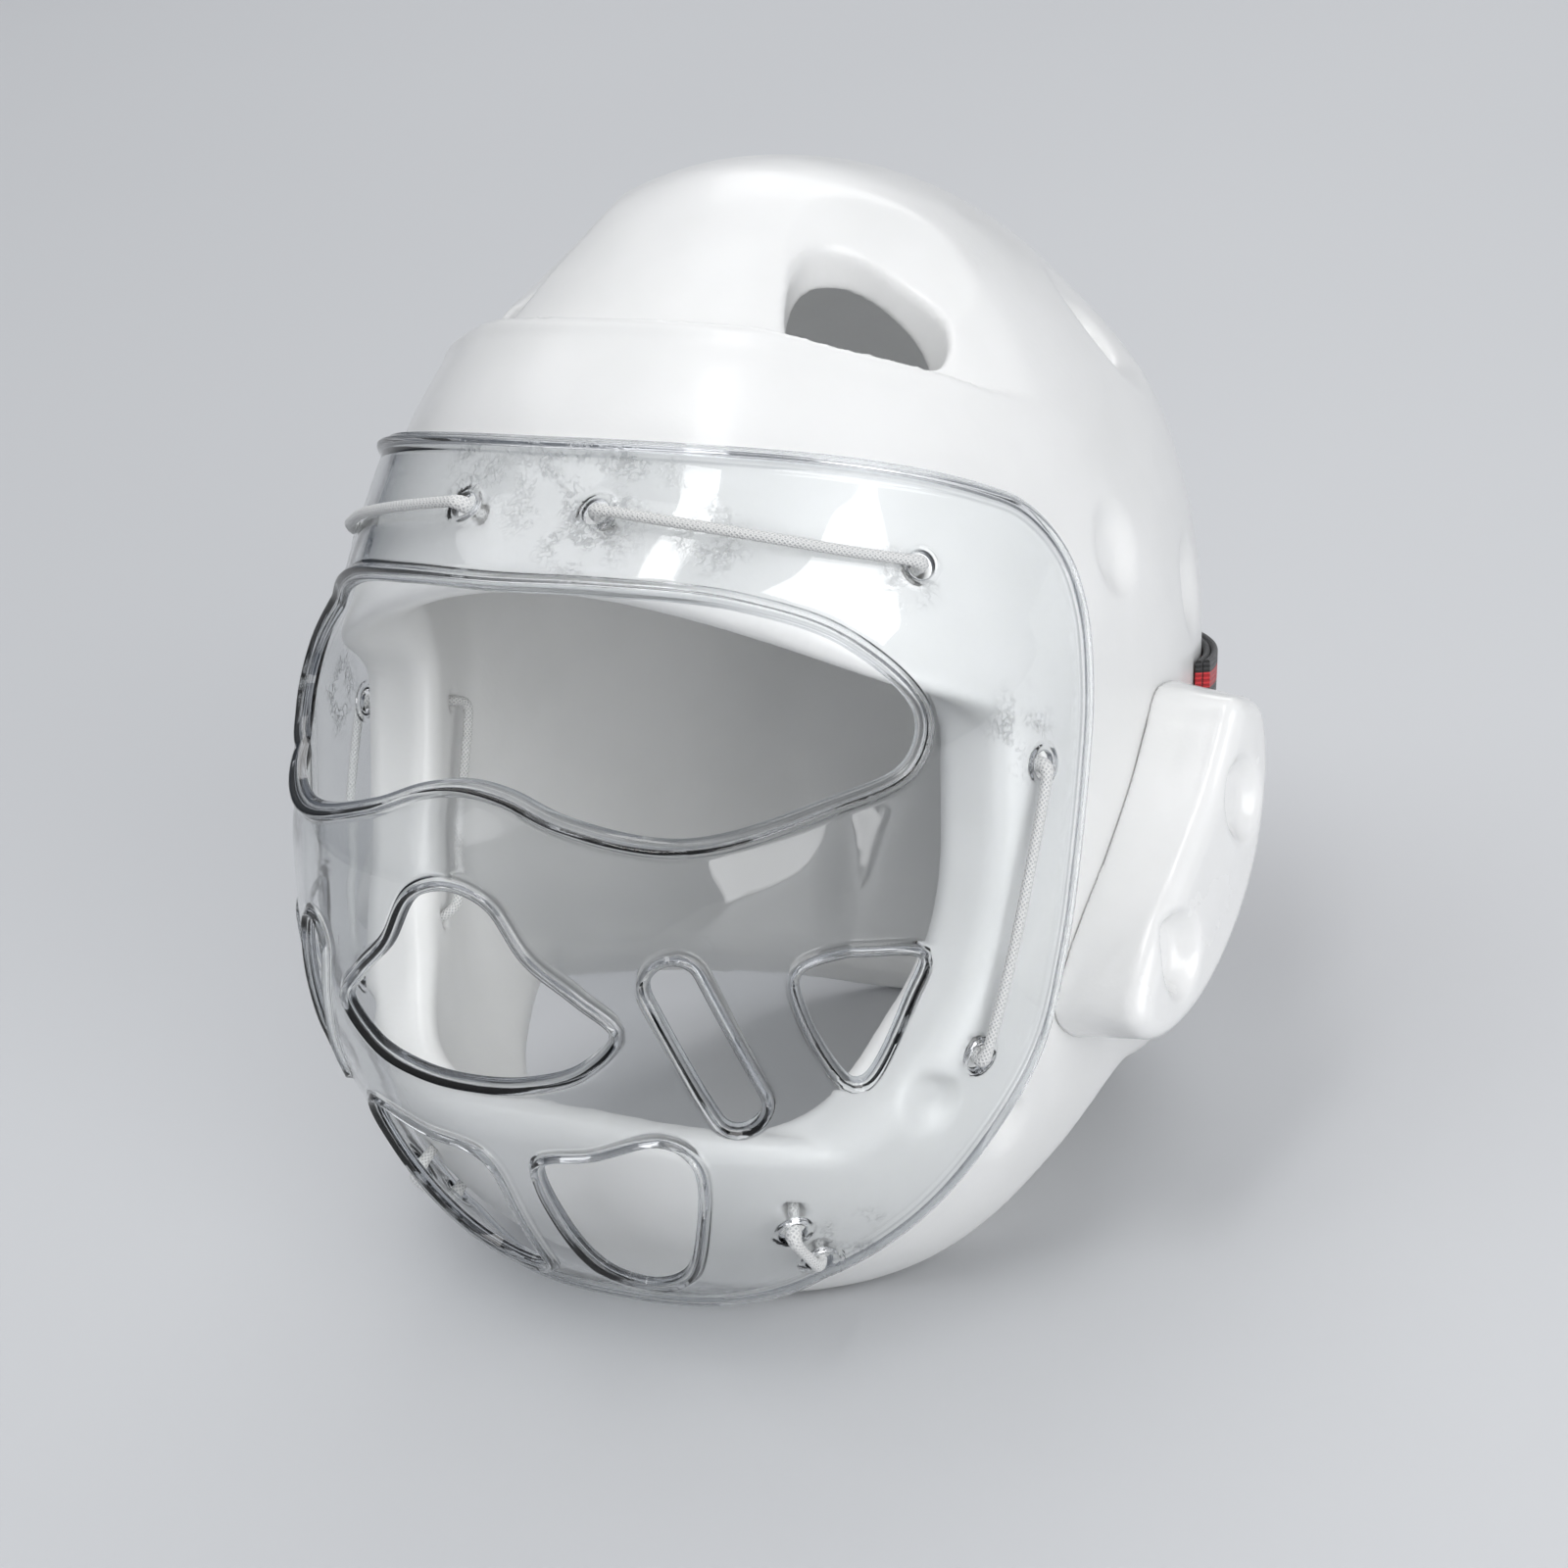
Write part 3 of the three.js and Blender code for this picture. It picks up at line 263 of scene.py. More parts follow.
def smooth_column(table, column):
    """A smooth curve through one column of a table, without overshoot."""
    rows = sorted(table)
    x = np.array([row[0] for row in rows], float)
    y = np.array([row[column] for row in rows], float)
    slope = np.diff(y) / np.diff(x)
    tangent = np.zeros(len(x))
    for i in range(1, len(x) - 1):
        before, after = slope[i - 1], slope[i]
        if before * after > 0:
            tangent[i] = 2 * before * after / (before + after)
    tangent[0] = 0
    tangent[-1] = 0

    def curve(value):
        at = np.clip(value, x[0], x[-1])
        i = np.clip(np.searchsorted(x, at, side="right") - 1, 0, len(x) - 2)
        span = x[i + 1] - x[i]
        s = (at - x[i]) / span
        start = y[i] * (1 + 2 * s) * (1 - s) ** 2 + tangent[i] * span * s * (1 - s) ** 2
        end = y[i + 1] * s * s * (3 - 2 * s) + tangent[i + 1] * span * s * s * (s - 1)
        return start + end
    return curve


front_share = smooth_column(SHELL_SECTIONS, 1)
side_share = smooth_column(SHELL_SECTIONS, 2)
back_share = smooth_column(SHELL_SECTIONS, 3)
front_fullness = smooth_column(SHELL_SECTIONS, 4)
ledge_height = smooth_column(LEDGE_LINE, 1)
ledge_step = smooth_column(LEDGE_LINE, 2)
hem_height = smooth_column(HEM_LINE, 1)
shield_bulge = smooth_column(SHIELD_SECTIONS, 1)


def folded(azimuth):
    return np.abs((azimuth + 180) % 360 - 180)


def shell_radius(azimuth, elevation):
    """The shell's outer surface without its ledge and scoops."""
    toward = place(azimuth, elevation, 1.0)
    ahead = toward[..., 1] < 0
    above = toward[..., 2] > 0
    plan = np.where(ahead, front_fullness(elevation), BACK_FULLNESS)
    reach = np.where(ahead, FRONT_REACH, BACK_REACH)
    tall = np.where(above, CROWN_HEIGHT, JAW_DEPTH)
    fullness = np.where(above, DOME_FULLNESS, JAW_FULLNESS)
    across = (np.abs(toward[..., 0]) / HALF_WIDTH) ** plan
    along = (np.abs(toward[..., 1]) / reach) ** plan
    level = (across + along) ** (1 / plan)
    whole = (level ** fullness + (np.abs(toward[..., 2]) / tall) ** fullness) ** (1 / fullness)
    sideways = np.sin(np.radians(azimuth)) ** 2
    end = np.where(ahead, front_share(elevation), back_share(elevation))
    return (side_share(elevation) * sideways + end * (1 - sideways)) / whole


def dish(azimuth, elevation, centre, radius):
    """A round dish: 1 in its middle, 0 from its edge on."""
    cosine = np.clip(place(folded(azimuth), elevation, 1.0) @ place(*centre, 1.0), -1, 1)
    return 1 - smoothstep(np.arccos(cosine) * CROWN_HEIGHT / radius, 0.25, 1)


def shell_relief(azimuth, elevation):
    """How far the outer surface lies below the plain one: ledge, scoops and dimples."""
    side = folded(azimuth)
    height = elevation - ledge_height(side)
    crown = np.maximum(
        LEDGE_DEPTH * ledge_step(side) * (1 - smoothstep(height, 0, LEDGE_FADE)),
        SCOOP_DEPTH * dish(azimuth, elevation, FRONT_SCOOP, SCOOP_RADIUS),
    )
    relief = crown * smoothstep(height, -LEDGE_EDGE, LEDGE_EDGE)
    relief = relief - LEDGE_BEAD * ledge_step(side) * np.exp(-(height + LEDGE_BEAD_DROP) ** 2)
    relief = relief + REAR_SCOOP_DEPTH * dish(azimuth, elevation, REAR_VENT, REAR_SCOOP_RADIUS)
    for at, up, wide, tall in DIMPLES:
        radius = shell_radius(at, up)
        across = np.radians(side - at) * radius * math.cos(math.radians(up)) / (wide * DIMPLE_SIZE)
        along = np.radians(elevation - up) * radius / (tall * DIMPLE_SIZE)
        relief = relief + DIMPLE_DEPTH * (1 - smoothstep(np.hypot(across, along), 0.3, 1.15))
    return relief


def shield_radius(azimuth, elevation):
    """The inner face of the shield."""
    share = np.clip(np.abs(azimuth) / SHIELD_SPREAD, 0, 1)
    ahead = SHIELD_BULGE * shield_bulge(elevation) * (1 - share * share) ** BULGE_POWER
    return shell_radius(azimuth, elevation) + SHIELD_GAP + ahead


# Outlines
def smooth_outline(corners, step):
    """A closed centripetal curve through a few corners, as points about one step apart."""
    corners = np.array(corners, float)
    count = len(corners)
    dense = []
    for i in range(count):
        p0, p1, p2, p3 = (corners[(i + k) % count] for k in (-1, 0, 1, 2))
        d0, d1, d2 = (max(np.linalg.norm(b - a) ** 0.5, 1e-4) for a, b in ((p0, p1), (p1, p2), (p2, p3)))
        t1 = ((p1 - p0) / d0 - (p2 - p0) / (d0 + d1) + (p2 - p1) / d1) * d1
        t2 = ((p2 - p1) / d1 - (p3 - p1) / (d1 + d2) + (p3 - p2) / d2) * d1
        s = np.linspace(0, 1, 40, endpoint=False)[:, None]
        dense.append((2 * s**3 - 3 * s**2 + 1) * p1 + (s**3 - 2 * s**2 + s) * t1
                     + (3 * s**2 - 2 * s**3) * p2 + (s**3 - s**2) * t2)
    return resampled(np.concatenate(dense), step)


def resampled(loop, step):
    """A closed line of points, even along its length."""
    closed = np.vstack([loop, loop[:1]])
    length = np.concatenate([[0], np.cumsum(np.linalg.norm(np.diff(closed, axis=0), axis=1))])
    count = max(8, round(length[-1] / step))
    at = np.linspace(0, length[-1], count, endpoint=False)
    return np.stack([np.interp(at, length, closed[:, k]) for k in range(closed.shape[1])], -1)


def mirrored(half):
    return half + [(-azimuth, elevation) for azimuth, elevation in half[-2:0:-1]]


def flipped(outline):
    return outline[::-1] * np.array([-1, 1])


def slot_outline(ends, width, step):
    radius = shield_radius(*ends[0]) + SHIELD_THICKNESS
    squash = math.cos(math.radians((ends[0][1] + ends[1][1]) / 2))
    low, high = (np.array([azimuth * squash, elevation]) for azimuth, elevation in ends)
    heading = math.atan2(*(high - low)[::-1])
    half = math.degrees(width / 2 / radius)
    turns = np.linspace(0, math.pi, 13)
    loop = [end + half * np.stack([np.cos(heading + start + turns), np.sin(heading + start + turns)], -1)
            for end, start in ((high, -math.pi / 2), (low, math.pi / 2))]
    return resampled(np.concatenate(loop), step) / np.array([squash, 1])


def polygon_distance(points, outline):
    """Signed distance of flat points to a closed outline, negative inside."""
    best = np.full(len(points), np.inf)
    inside = np.zeros(len(points), bool)
    for start, end in zip(outline, np.roll(outline, -1, axis=0)):
        edge = end - start
        from_start = points - start
        share = np.clip(from_start @ edge / (edge @ edge), 0, 1)
        best = np.minimum(best, ((from_start - share[:, None] * edge) ** 2).sum(1))
        if start[1] != end[1]:
            crosses = (start[1] > points[:, 1]) != (end[1] > points[:, 1])
            at = start[0] + (points[:, 1] - start[1]) * edge[0] / edge[1]
            inside ^= crosses & (points[:, 0] < at)
    return np.where(inside, -1.0, 1.0) * np.sqrt(best)


def looked_up(outline, u, v, step=0.5, margin=25.0):
    """The same distance for many points, read from a table around the outline."""
    low = outline.min(0) - margin
    size = np.ceil((outline.max(0) + margin - low) / step).astype(int) + 1
    grid = np.stack(np.meshgrid(*(low[k] + step * np.arange(size[k]) for k in (0, 1)), indexing="ij"), -1)
    table = polygon_distance(grid.reshape(-1, 2), outline).reshape(size)
    a = np.clip((u - low[0]) / step, 0, size[0] - 1.001)
    b = np.clip((v - low[1]) / step, 0, size[1] - 1.001)
    i, j = a.astype(int), b.astype(int)
    fa, fb = a - i, b - j
    near = table[i, j] * (1 - fb) + table[i, j + 1] * fb
    far = table[i + 1, j] * (1 - fb) + table[i + 1, j + 1] * fb
    return near * (1 - fa) + far * fa


# Solids as distance fields, meshed where they pass through zero
def both(a, b, rounding):
    """The common part of two fields, with its edge rounded."""
    u = np.maximum(rounding + a, 0)
    v = np.maximum(rounding + b, 0)
    return np.minimum(-rounding, np.maximum(a, b)) + np.hypot(u, v)


def even(field, voxel):
    """A field scaled so that it grows by one for each millimetre."""
    slope = np.sqrt(sum(part * part for part in np.gradient(field, voxel)))
    return field / np.clip(slope, 0.7, 4.0)


def sampled(field, at):
    """A field read between its grid points."""
    top = np.array(field.shape) - 1.001
    at = np.clip(at, 0, top)
    cell = at.astype(int)
    part = at - cell
    total = 0
    for corner in np.ndindex(2, 2, 2):
        weight = np.prod(np.where(corner, part, 1 - part), axis=1)
        total = total + weight * field[tuple((cell + corner).T)]
    return total


def meshed(field, origin, voxel):
    """Points and faces of a field's surface, with each point moved onto it."""
    grid = openvdb.FloatGrid(float(WALL))
    grid.copyFromArray(np.ascontiguousarray(field, dtype=np.float32))
    points, triangles, quads = grid.convertToPolygons(0.0, 0.0)
    points = np.array(points, float)
    for _ in range(3):
        slope = np.stack([
            sampled(field, points + step) - sampled(field, points - step) for step in np.eye(3) * 0.5
        ], -1)
        height = sampled(field, points)
        size = np.maximum((slope * slope).sum(1), 0.05)
        points = points - np.clip(height / size, -0.5, 0.5)[:, None] * slope
    faces = [tuple(face) for face in triangles] + [tuple(face) for face in quads]
    return points * voxel + origin, faces


def gnomonic(points, centre, radius):
    """Flat coordinates on the plane that touches a sphere at a centre, and the depth along it."""
    out = place(*centre, 1.0)
    east = np.cross([0, 0, 1.0], out)
    east /= np.linalg.norm(east)
    north = np.cross(out, east)
    depth = points @ out
    scale = radius / np.maximum(depth, 1.0)
    return points @ east * scale, points @ north * scale, depth


def through_hole(points, outline, radius):
    """A field that is negative in a hole running straight out from the middle of the head."""
    centre = outline.mean(0)
    u, v, _ = gnomonic(place(outline[:, 0], outline[:, 1], radius), centre, radius)
    across, along, depth = gnomonic(points, centre, radius)
    return np.where(depth > radius / 2, looked_up(np.stack([u, v], -1), across, along), 30.0)


def round_hole(points, centre, radius):
    out = place(*centre, 1.0)
    depth = points @ out
    away = np.sqrt(np.maximum((points * points).sum(-1) - depth * depth, 0)) - radius
    return np.where(depth > 0, away, 30.0)


def oval_outline(centre, half, radius):
    turns = np.linspace(0, 2 * np.pi, 60, endpoint=False)
    wide = np.degrees(half[0] / (radius * math.cos(math.radians(centre[1]))))
    tall = np.degrees(half[1] / radius)
    return np.stack([centre[0] + wide * np.cos(turns), centre[1] + tall * np.sin(turns)], -1)


def quadratic(start, control, end, count=12):
    s = np.linspace(0, 1, count)[:, None]
    return (1 - s) ** 2 * np.array(start) + 2 * s * (1 - s) * np.array(control) + s * s * np.array(end)


def wall_at(points):
    """The foam's thickness, which grows towards the cheek rims."""
    forward = 1 - smoothstep(points[..., 1], CHEEK_RIM, CHEEK_RIM + CHEEK_FADE)
    level = 1 - smoothstep(np.abs(points[..., 2] + 28), 30, 58)
    return WALL + CHEEK_EXTRA * forward * level * smoothstep(np.abs(points[..., 0]), 30, 60)


def face_profile():
    """The face opening seen from the side, as Y and Z."""
    rim_top = BROW_HEIGHT - OPENING_ROUNDING
    rim_bottom = rim_top - OPENING_ROUNDING
    far = -2 * FRONT_REACH
    brow_front = CHEEK_RIM - OPENING_ROUNDING
    brow = quadratic((brow_front, BROW_HEIGHT), (CHEEK_RIM, BROW_HEIGHT), (CHEEK_RIM, rim_top))
    jaw_middle = (rim_bottom + CHIN_BAR_TOP) / 2
    jaw = quadratic((CHEEK_RIM, rim_bottom), (CHEEK_RIM, jaw_middle), (CHIN_BAR_BACK, CHIN_BAR_TOP))
    return np.vstack([[(far, BROW_HEIGHT)], brow, jaw, [(far, CHIN_BAR_TOP)]])


def shell_field():
    """The left half of the foam shell, then its mirror image."""
    voxel = SHELL_VOXEL
    xs = np.arange(0, HALF_WIDTH + 5, voxel)
    ys = np.arange(-FRONT_REACH - 6, BACK_REACH + 10, voxel)
    zs = np.arange(-JAW_DEPTH - 4, CROWN_HEIGHT + 5, voxel)
    points = np.stack(np.meshgrid(xs, ys, zs, indexing="ij"), -1)
    x, y, z = (points[..., k] for k in range(3))
    distance = np.maximum(np.sqrt((points * points).sum(-1)), 1.0)
    azimuth = np.degrees(np.arctan2(x, -y))
    elevation = np.degrees(np.arcsin(np.clip(z / distance, -1, 1)))
    plain = shell_radius(azimuth, elevation)
    outside = even(distance - plain + shell_relief(azimuth, elevation), voxel)
    inside = even(plain - wall_at(points) - distance, voxel)
    field = np.maximum(outside, inside)
    hem = even(np.radians(hem_height(azimuth) - elevation) * distance, voxel)
    field = both(field, hem, HEM_ROUNDING)
    rim_top = BROW_HEIGHT - OPENING_ROUNDING
    arch = BROW_ARCH * (x / BROW_SPREAD) ** 2 - BROW_RISE
    arch = arch * smoothstep(z, rim_top - BROW_FADE, rim_top + BROW_FADE)
    opening = looked_up(face_profile(), y, z + arch, 1.0, 40.0)
    field = both(field, -opening, RIM_ROUNDING)
    slit = np.hypot(x, np.maximum(z - SLIT_TOP + SLIT_HALF, 0)) - SLIT_HALF
    field = both(field, -np.maximum(slit, -y), SLIT_ROUNDING)
    vents = [smooth_outline(FRONT_VENT, 0.7), oval_outline(REAR_VENT, REAR_VENT_HALF, CROWN_HEIGHT)]
    for outline in vents:
        field = both(field, -through_hole(points, outline, CROWN_HEIGHT), VENT_ROUNDING)
    for pair in LACES.values():
        for hole in pair:
            field = both(field, -round_hole(points, hole, HOLE_RADIUS), HOLE_ROUNDING)
    floor = -(points @ REST_TURN[2] + REST_PLACE[2])
    field = both(field, floor, REST_FLAT_ROUNDING)
    whole = np.concatenate([field[:0:-1], field])
    return whole, np.array([-xs[-1], ys[0], zs[0]]), voxel


def pad_outline(share):
    """Outline of an ear pad as Y and Z, from its root at 0 to its outer face at 1."""
    rows = np.array(PAD_OUTLINE)
    at = rows[:, 2:] * (1 - share) + rows[:, :2] * share
    corners = at * np.array(PAD_HALF) + np.array([PAD_BACK, -PAD_DROP])
    return smooth_outline(corners, PAD_OUTLINE_STEP)


def pad_field():
    voxel = PAD_VOXEL
    xs = np.arange(HALF_WIDTH - WALL - 4, PAD_REACH + 4, voxel)
    ys = np.arange(PAD_BACK - PAD_HALF[0] - 6, PAD_BACK + PAD_HALF[0] + 6, voxel)
    zs = np.arange(-PAD_DROP - PAD_HALF[1] - 6, -PAD_DROP + PAD_HALF[1] + 6, voxel)
    flat = np.stack(np.meshgrid(ys, zs, indexing="ij"), -1).reshape(-1, 2)
    root = HALF_WIDTH - WALL
    side = np.stack([
        polygon_distance(flat, pad_outline(np.clip((x - root) / (PAD_DRAFT_TOP - root), 0, 1)))
        for x in xs
    ]).reshape(len(xs), len(ys), len(zs))
    points = np.stack(np.meshgrid(xs, ys, zs, indexing="ij"), -1)
    x, y, z = (points[..., k] for k in range(3))
    face_edge = polygon_distance(flat, pad_outline(1.0)).reshape(1, len(ys), len(zs))
    top = PAD_REACH - PAD_CROWN * (1 - smoothstep(-face_edge, 0, PAD_CROWN_WIDTH))
    for back, up, wide, tall, depth in PAD_DENTS:
        across = (y - PAD_BACK - back * PAD_HALF[0]) / (wide * PAD_HALF[0])
        along = (z + PAD_DROP - up * PAD_HALF[1]) / (tall * PAD_HALF[1])
        top = top - depth * (1 - smoothstep(np.hypot(across, along), 0.45, 1.08))
    distance = np.sqrt((points * points).sum(-1))
    azimuth = np.degrees(np.arctan2(x, -y))
    elevation = np.degrees(np.arcsin(z / distance))
    above = distance - shell_radius(azimuth, elevation)
    field = both(even(side, voxel), even(x - top, voxel), PAD_ROUNDING)
    below = even(PAD_GAP - above, voxel)
    return both(field, below, PAD_SEAM), np.array([xs[0], ys[0], zs[0]]), voxel


# Objects
def add_object(name, points, faces, material):
    mesh = bpy.data.meshes.new(name)
    mesh.from_pydata(np.asarray(points).tolist(), [], faces)
    mesh.validate()
    mesh.materials.append(material)
    mesh.shade_smooth()
    made = bpy.data.objects.new(name, mesh)
    bpy.context.scene.collection.objects.link(made)
    return made


def is_inside_out(points, faces):
    """Whether a closed mesh is wound with its volume outside."""
    total = 0.0
    for face in faces:
        a, b, c = points[face[0]], points[face[1]], points[face[2]]
        total += np.dot(a, np.cross(b, c))
        if len(face) == 4:
            total += np.dot(a, np.cross(c, points[face[3]]))
    return total < 0


def add_piece(name, points, faces, material, replaced, coordinates=None):
    """A piece in the head frame that stands for a node, with texture coordinates for each face."""
    placed = to_rest(points)
    turn = -1 if is_inside_out(placed, faces) else 1
    made = add_object(name, placed, [tuple(face[::turn]) for face in faces], material)
    if coordinates is not None:
        layer = made.data.uv_layers.new(name="millimetres")
        rows = np.concatenate([np.array(corners, np.float32)[::turn] for corners in coordinates])
        layer.data.foreach_set("uv", rows.ravel())
    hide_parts(replaced)
    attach(made, "root")
    return made


def slimmed(piece, triangles):
    """Fewer triangles for a piece, taken from its flattest places first."""
    count = sum(len(face.vertices) - 2 for face in piece.data.polygons)
    piece.modifiers.new("slim", "DECIMATE").ratio = triangles / count
    depsgraph = bpy.context.evaluated_depsgraph_get()
    made = bpy.data.meshes.new_from_object(piece.evaluated_get(depsgraph))
    piece.modifiers.clear()
    piece.data = made


def mirror_points(points):
    return points * np.array([-1.0, 1.0, 1.0])


# Materials
def new_material(name):
    material = bpy.data.materials.new(name)
    material.use_nodes = True
    tree = material.node_tree
    shader = tree.nodes["Principled BSDF"]
    return material, tree, shader


def add_node(tree, kind, inputs=None, **settings):
    made = tree.nodes.new(kind)
    for key, value in settings.items():
        setattr(made, key, value)
    for key, value in (inputs or {}).items():
        if isinstance(value, bpy.types.NodeSocket):
            tree.links.new(value, made.inputs[key])
        else:
            made.inputs[key].default_value = value
    return made


def noise(tree, vector, scale, detail, roughness=0.5):
    inputs = {"Vector": vector, "Scale": scale, "Detail": detail, "Roughness": roughness}
    return add_node(tree, "ShaderNodeTexNoise", inputs).outputs["Fac"]


def math_node(tree, operation, a, b=0.0, c=0.0, clamp=False):
    inputs = {0: a, 1: b, 2: c}
    return add_node(tree, "ShaderNodeMath", inputs, operation=operation, use_clamp=clamp).outputs[0]


def spread(tree, value, low, high, to_low=0.0, to_high=1.0):
    inputs = {"Value": value, "From Min": low, "From Max": high, "To Min": to_low, "To Max": to_high}
    return add_node(tree, "ShaderNodeMapRange", inputs, interpolation_type="SMOOTHSTEP").outputs["Result"]


def mixed_colour(tree, share, a, b):
    made = add_node(tree, "ShaderNodeMix", {0: share}, data_type="RGBA")
    for key, value in ((6, a), (7, b)):
        if isinstance(value, bpy.types.NodeSocket):
            tree.links.new(value, made.inputs[key])
        else:
            made.inputs[key].default_value = (*value, 1.0)
    return made.outputs[2]


def bump(tree, height, distance, strength, normal=None):
    inputs = {"Height": height, "Distance": distance, "Strength": strength}
    if normal is not None:
        inputs["Normal"] = normal
    return add_node(tree, "ShaderNodeBump", inputs).outputs["Normal"]


def object_coordinates(tree):
    return tree.nodes.new("ShaderNodeTexCoord").outputs["Object"]


def foam_material(name, base, rough_low, rough_high, coat):
    """A glossy vinyl skin on soft foam: slightly uneven, with fine orange peel and faint scuffs."""
    material, tree, shader = new_material(name)
    at = object_coordinates(tree)
    clouds = spread(tree, noise(tree, at, 22.0, 3.0), 0.35, 0.7)
    grime = tuple(value * shade for value, shade in zip(base, (0.94, 0.942, 0.94)))
    tree.links.new(mixed_colour(tree, clouds, base, grime), shader.inputs["Base Color"])
    handling = noise(tree, at, 48.0, 4.0, 0.55)
    tree.links.new(spread(tree, handling, 0.35, 0.75, rough_low, rough_high), shader.inputs["Roughness"])
    waves = bump(tree, noise(tree, at, 42.0, 1.0), 0.0009, 0.35)
    peel = bump(tree, noise(tree, at, 520.0, 1.5), 0.0001, 0.4, waves)
    tree.links.new(bump(tree, noise(tree, at, 2100.0, 1.0), 0.00002, 0.3, peel), shader.inputs["Normal"])
    shader.inputs["IOR"].default_value = 1.5
    shader.inputs["Coat Weight"].default_value = coat
    shader.inputs["Coat Roughness"].default_value = 0.08
    shader.inputs["Subsurface Weight"].default_value = 0.1
    shader.inputs["Subsurface Radius"].default_value = (0.004, 0.004, 0.0036)
    shader.inputs["Subsurface Scale"].default_value = 1.0
    return material


def shield_material(name, contacts):
    """Clear formed sheet with a faint haze, fine scratches and speckle where it touches the foam, and painted
    shade darkening it along its cut edges and on its ridges' flanks.
    """
    material, tree, shader = new_material(name)
    at = object_coordinates(tree)
    touch = None
    for centre, radius in contacts:
        offset = add_node(tree, "ShaderNodeVectorMath", {0: at, 1: centre}, operation="DISTANCE")
        near = spread(tree, offset.outputs["Value"], radius * 0.25, radius, 1.0, 0.0)
        touch = near if touch is None else math_node(tree, "MAXIMUM", touch, near)
    patch = spread(tree, noise(tree, at, 120.0, 3.0), 0.44, 0.58)
    off_line = math_node(tree, "SUBTRACT", noise(tree, at, 430.0, 1.5, 0.6), 0.5)
    off_line = math_node(tree, "ABSOLUTE", off_line)
    dots = spread(tree, off_line, 0.025, 0.08, 1.0, 0.0)
    speckle = math_node(tree, "MULTIPLY", math_node(tree, "MULTIPLY", touch, patch), dots)
    haze = spread(tree, noise(tree, at, 35.0, 4.0), 0.4, 0.75, 0.0, 0.05)
    rough = math_node(tree, "ADD", math_node(tree, "MULTIPLY_ADD", speckle, 0.3, haze), 0.025, clamp=True)
    tree.links.new(rough, shader.inputs["Roughness"])
    off_edge, height = uv_parts(tree)
    # Painted shade: the sheet's colour darkens along its cut edges and on its ridges' flanks, standing in for
    # the dark lines that refraction and reflection draw there
    cut = spread(tree, off_edge, 0.0, CUT_SHADE_REACH, 1.0, 0.0)
    off_flank = math_node(tree, "ABSOLUTE", math_node(tree, "SUBTRACT", height, FLANK_HEIGHT))
    flank = spread(tree, off_flank, 0.1, FLANK_HALF, FLANK_SHADE, 0.0)
    rim_shade = math_node(tree, "MAXIMUM", cut, flank)
    sheet = mixed_colour(tree, speckle, (0.81, 0.82, 0.828), (0.5, 0.51, 0.52))
    tree.links.new(mixed_colour(tree, rim_shade, sheet, (0.42, 0.44, 0.47)), shader.inputs["Base Color"])
    stretched = add_node(tree, "ShaderNodeMapping", {"Vector": at, "Scale": (1.0, 1.0, 0.08)}).outputs[0]
    scratches = spread(tree, noise(tree, stretched, 900.0, 1.0), 0.73, 0.79)
    waves = bump(tree, noise(tree, at, 30.0, 1.0), 0.0008, 0.25)
    grain = bump(tree, speckle, 0.00008, 0.4, waves)
    tree.links.new(bump(tree, scratches, 0.00002, 0.2, grain), shader.inputs["Normal"])
    shader.inputs["IOR"].default_value = 1.52
    shader.inputs["Transmission Weight"].default_value = 1.0
    clear = add_node(tree, "ShaderNodeBsdfTransparent", {"Color": (0.9, 0.91, 0.915, 1.0)})
    shadow = tree.nodes.new("ShaderNodeLightPath").outputs["Is Shadow Ray"]
    mix = add_node(tree, "ShaderNodeMixShader", {0: shadow, 1: shader.outputs[0], 2: clear.outputs[0]})
    tree.links.new(mix.outputs[0], tree.nodes["Material Output"].inputs["Surface"])
    return material


def uv_parts(tree):
    """The two texture coordinates of a piece, in millimetres."""
    uv = tree.nodes.new("ShaderNodeUVMap").outputs["UV"]
    parts = add_node(tree, "ShaderNodeSeparateXYZ", {0: uv})
    return parts.outputs[0], parts.outputs[1]


def wave(tree, value, period):
    """A sine of a value in millimetres, from 0 to 1."""
    turned = math_node(tree, "SINE", math_node(tree, "MULTIPLY", value, 2 * math.pi / period))
    return math_node(tree, "MULTIPLY_ADD", turned, 0.5, 0.5)


def lace_material(name):
    """White braided cord: crossing strands, a soft fuzz and painted shade in its grooves."""
    material, tree, shader = new_material(name)
    along, around = uv_parts(tree)
    left = wave(tree, math_node(tree, "ADD", along, around), BRAID_PERIOD)
    right = wave(tree, math_node(tree, "SUBTRACT", along, around), BRAID_PERIOD)
    braid = math_node(tree, "MAXIMUM", left, right)
    at = object_coordinates(tree)
    fuzz = noise(tree, at, 3800.0, 2.0)
    clouds = spread(tree, noise(tree, at, 60.0, 2.0), 0.35, 0.7)
    # Painted shade: the cord is grey where the braid lies low, in its grooves
    groove_shade = mixed_colour(tree, braid, (0.52, 0.53, 0.54), (0.86, 0.86, 0.85))
    tree.links.new(mixed_colour(tree, math_node(tree, "MULTIPLY", clouds, 0.25), groove_shade, (0.7, 0.69, 0.66)),
                   shader.inputs["Base Color"])
    strands = bump(tree, braid, 0.0003, 0.8)
    tree.links.new(bump(tree, fuzz, 0.0001, 0.4, strands), shader.inputs["Normal"])
    tree.links.new(spread(tree, fuzz, 0.3, 0.7, 0.5, 0.75), shader.inputs["Roughness"])
    shader.inputs["Sheen Weight"].default_value = 0.3
    return material


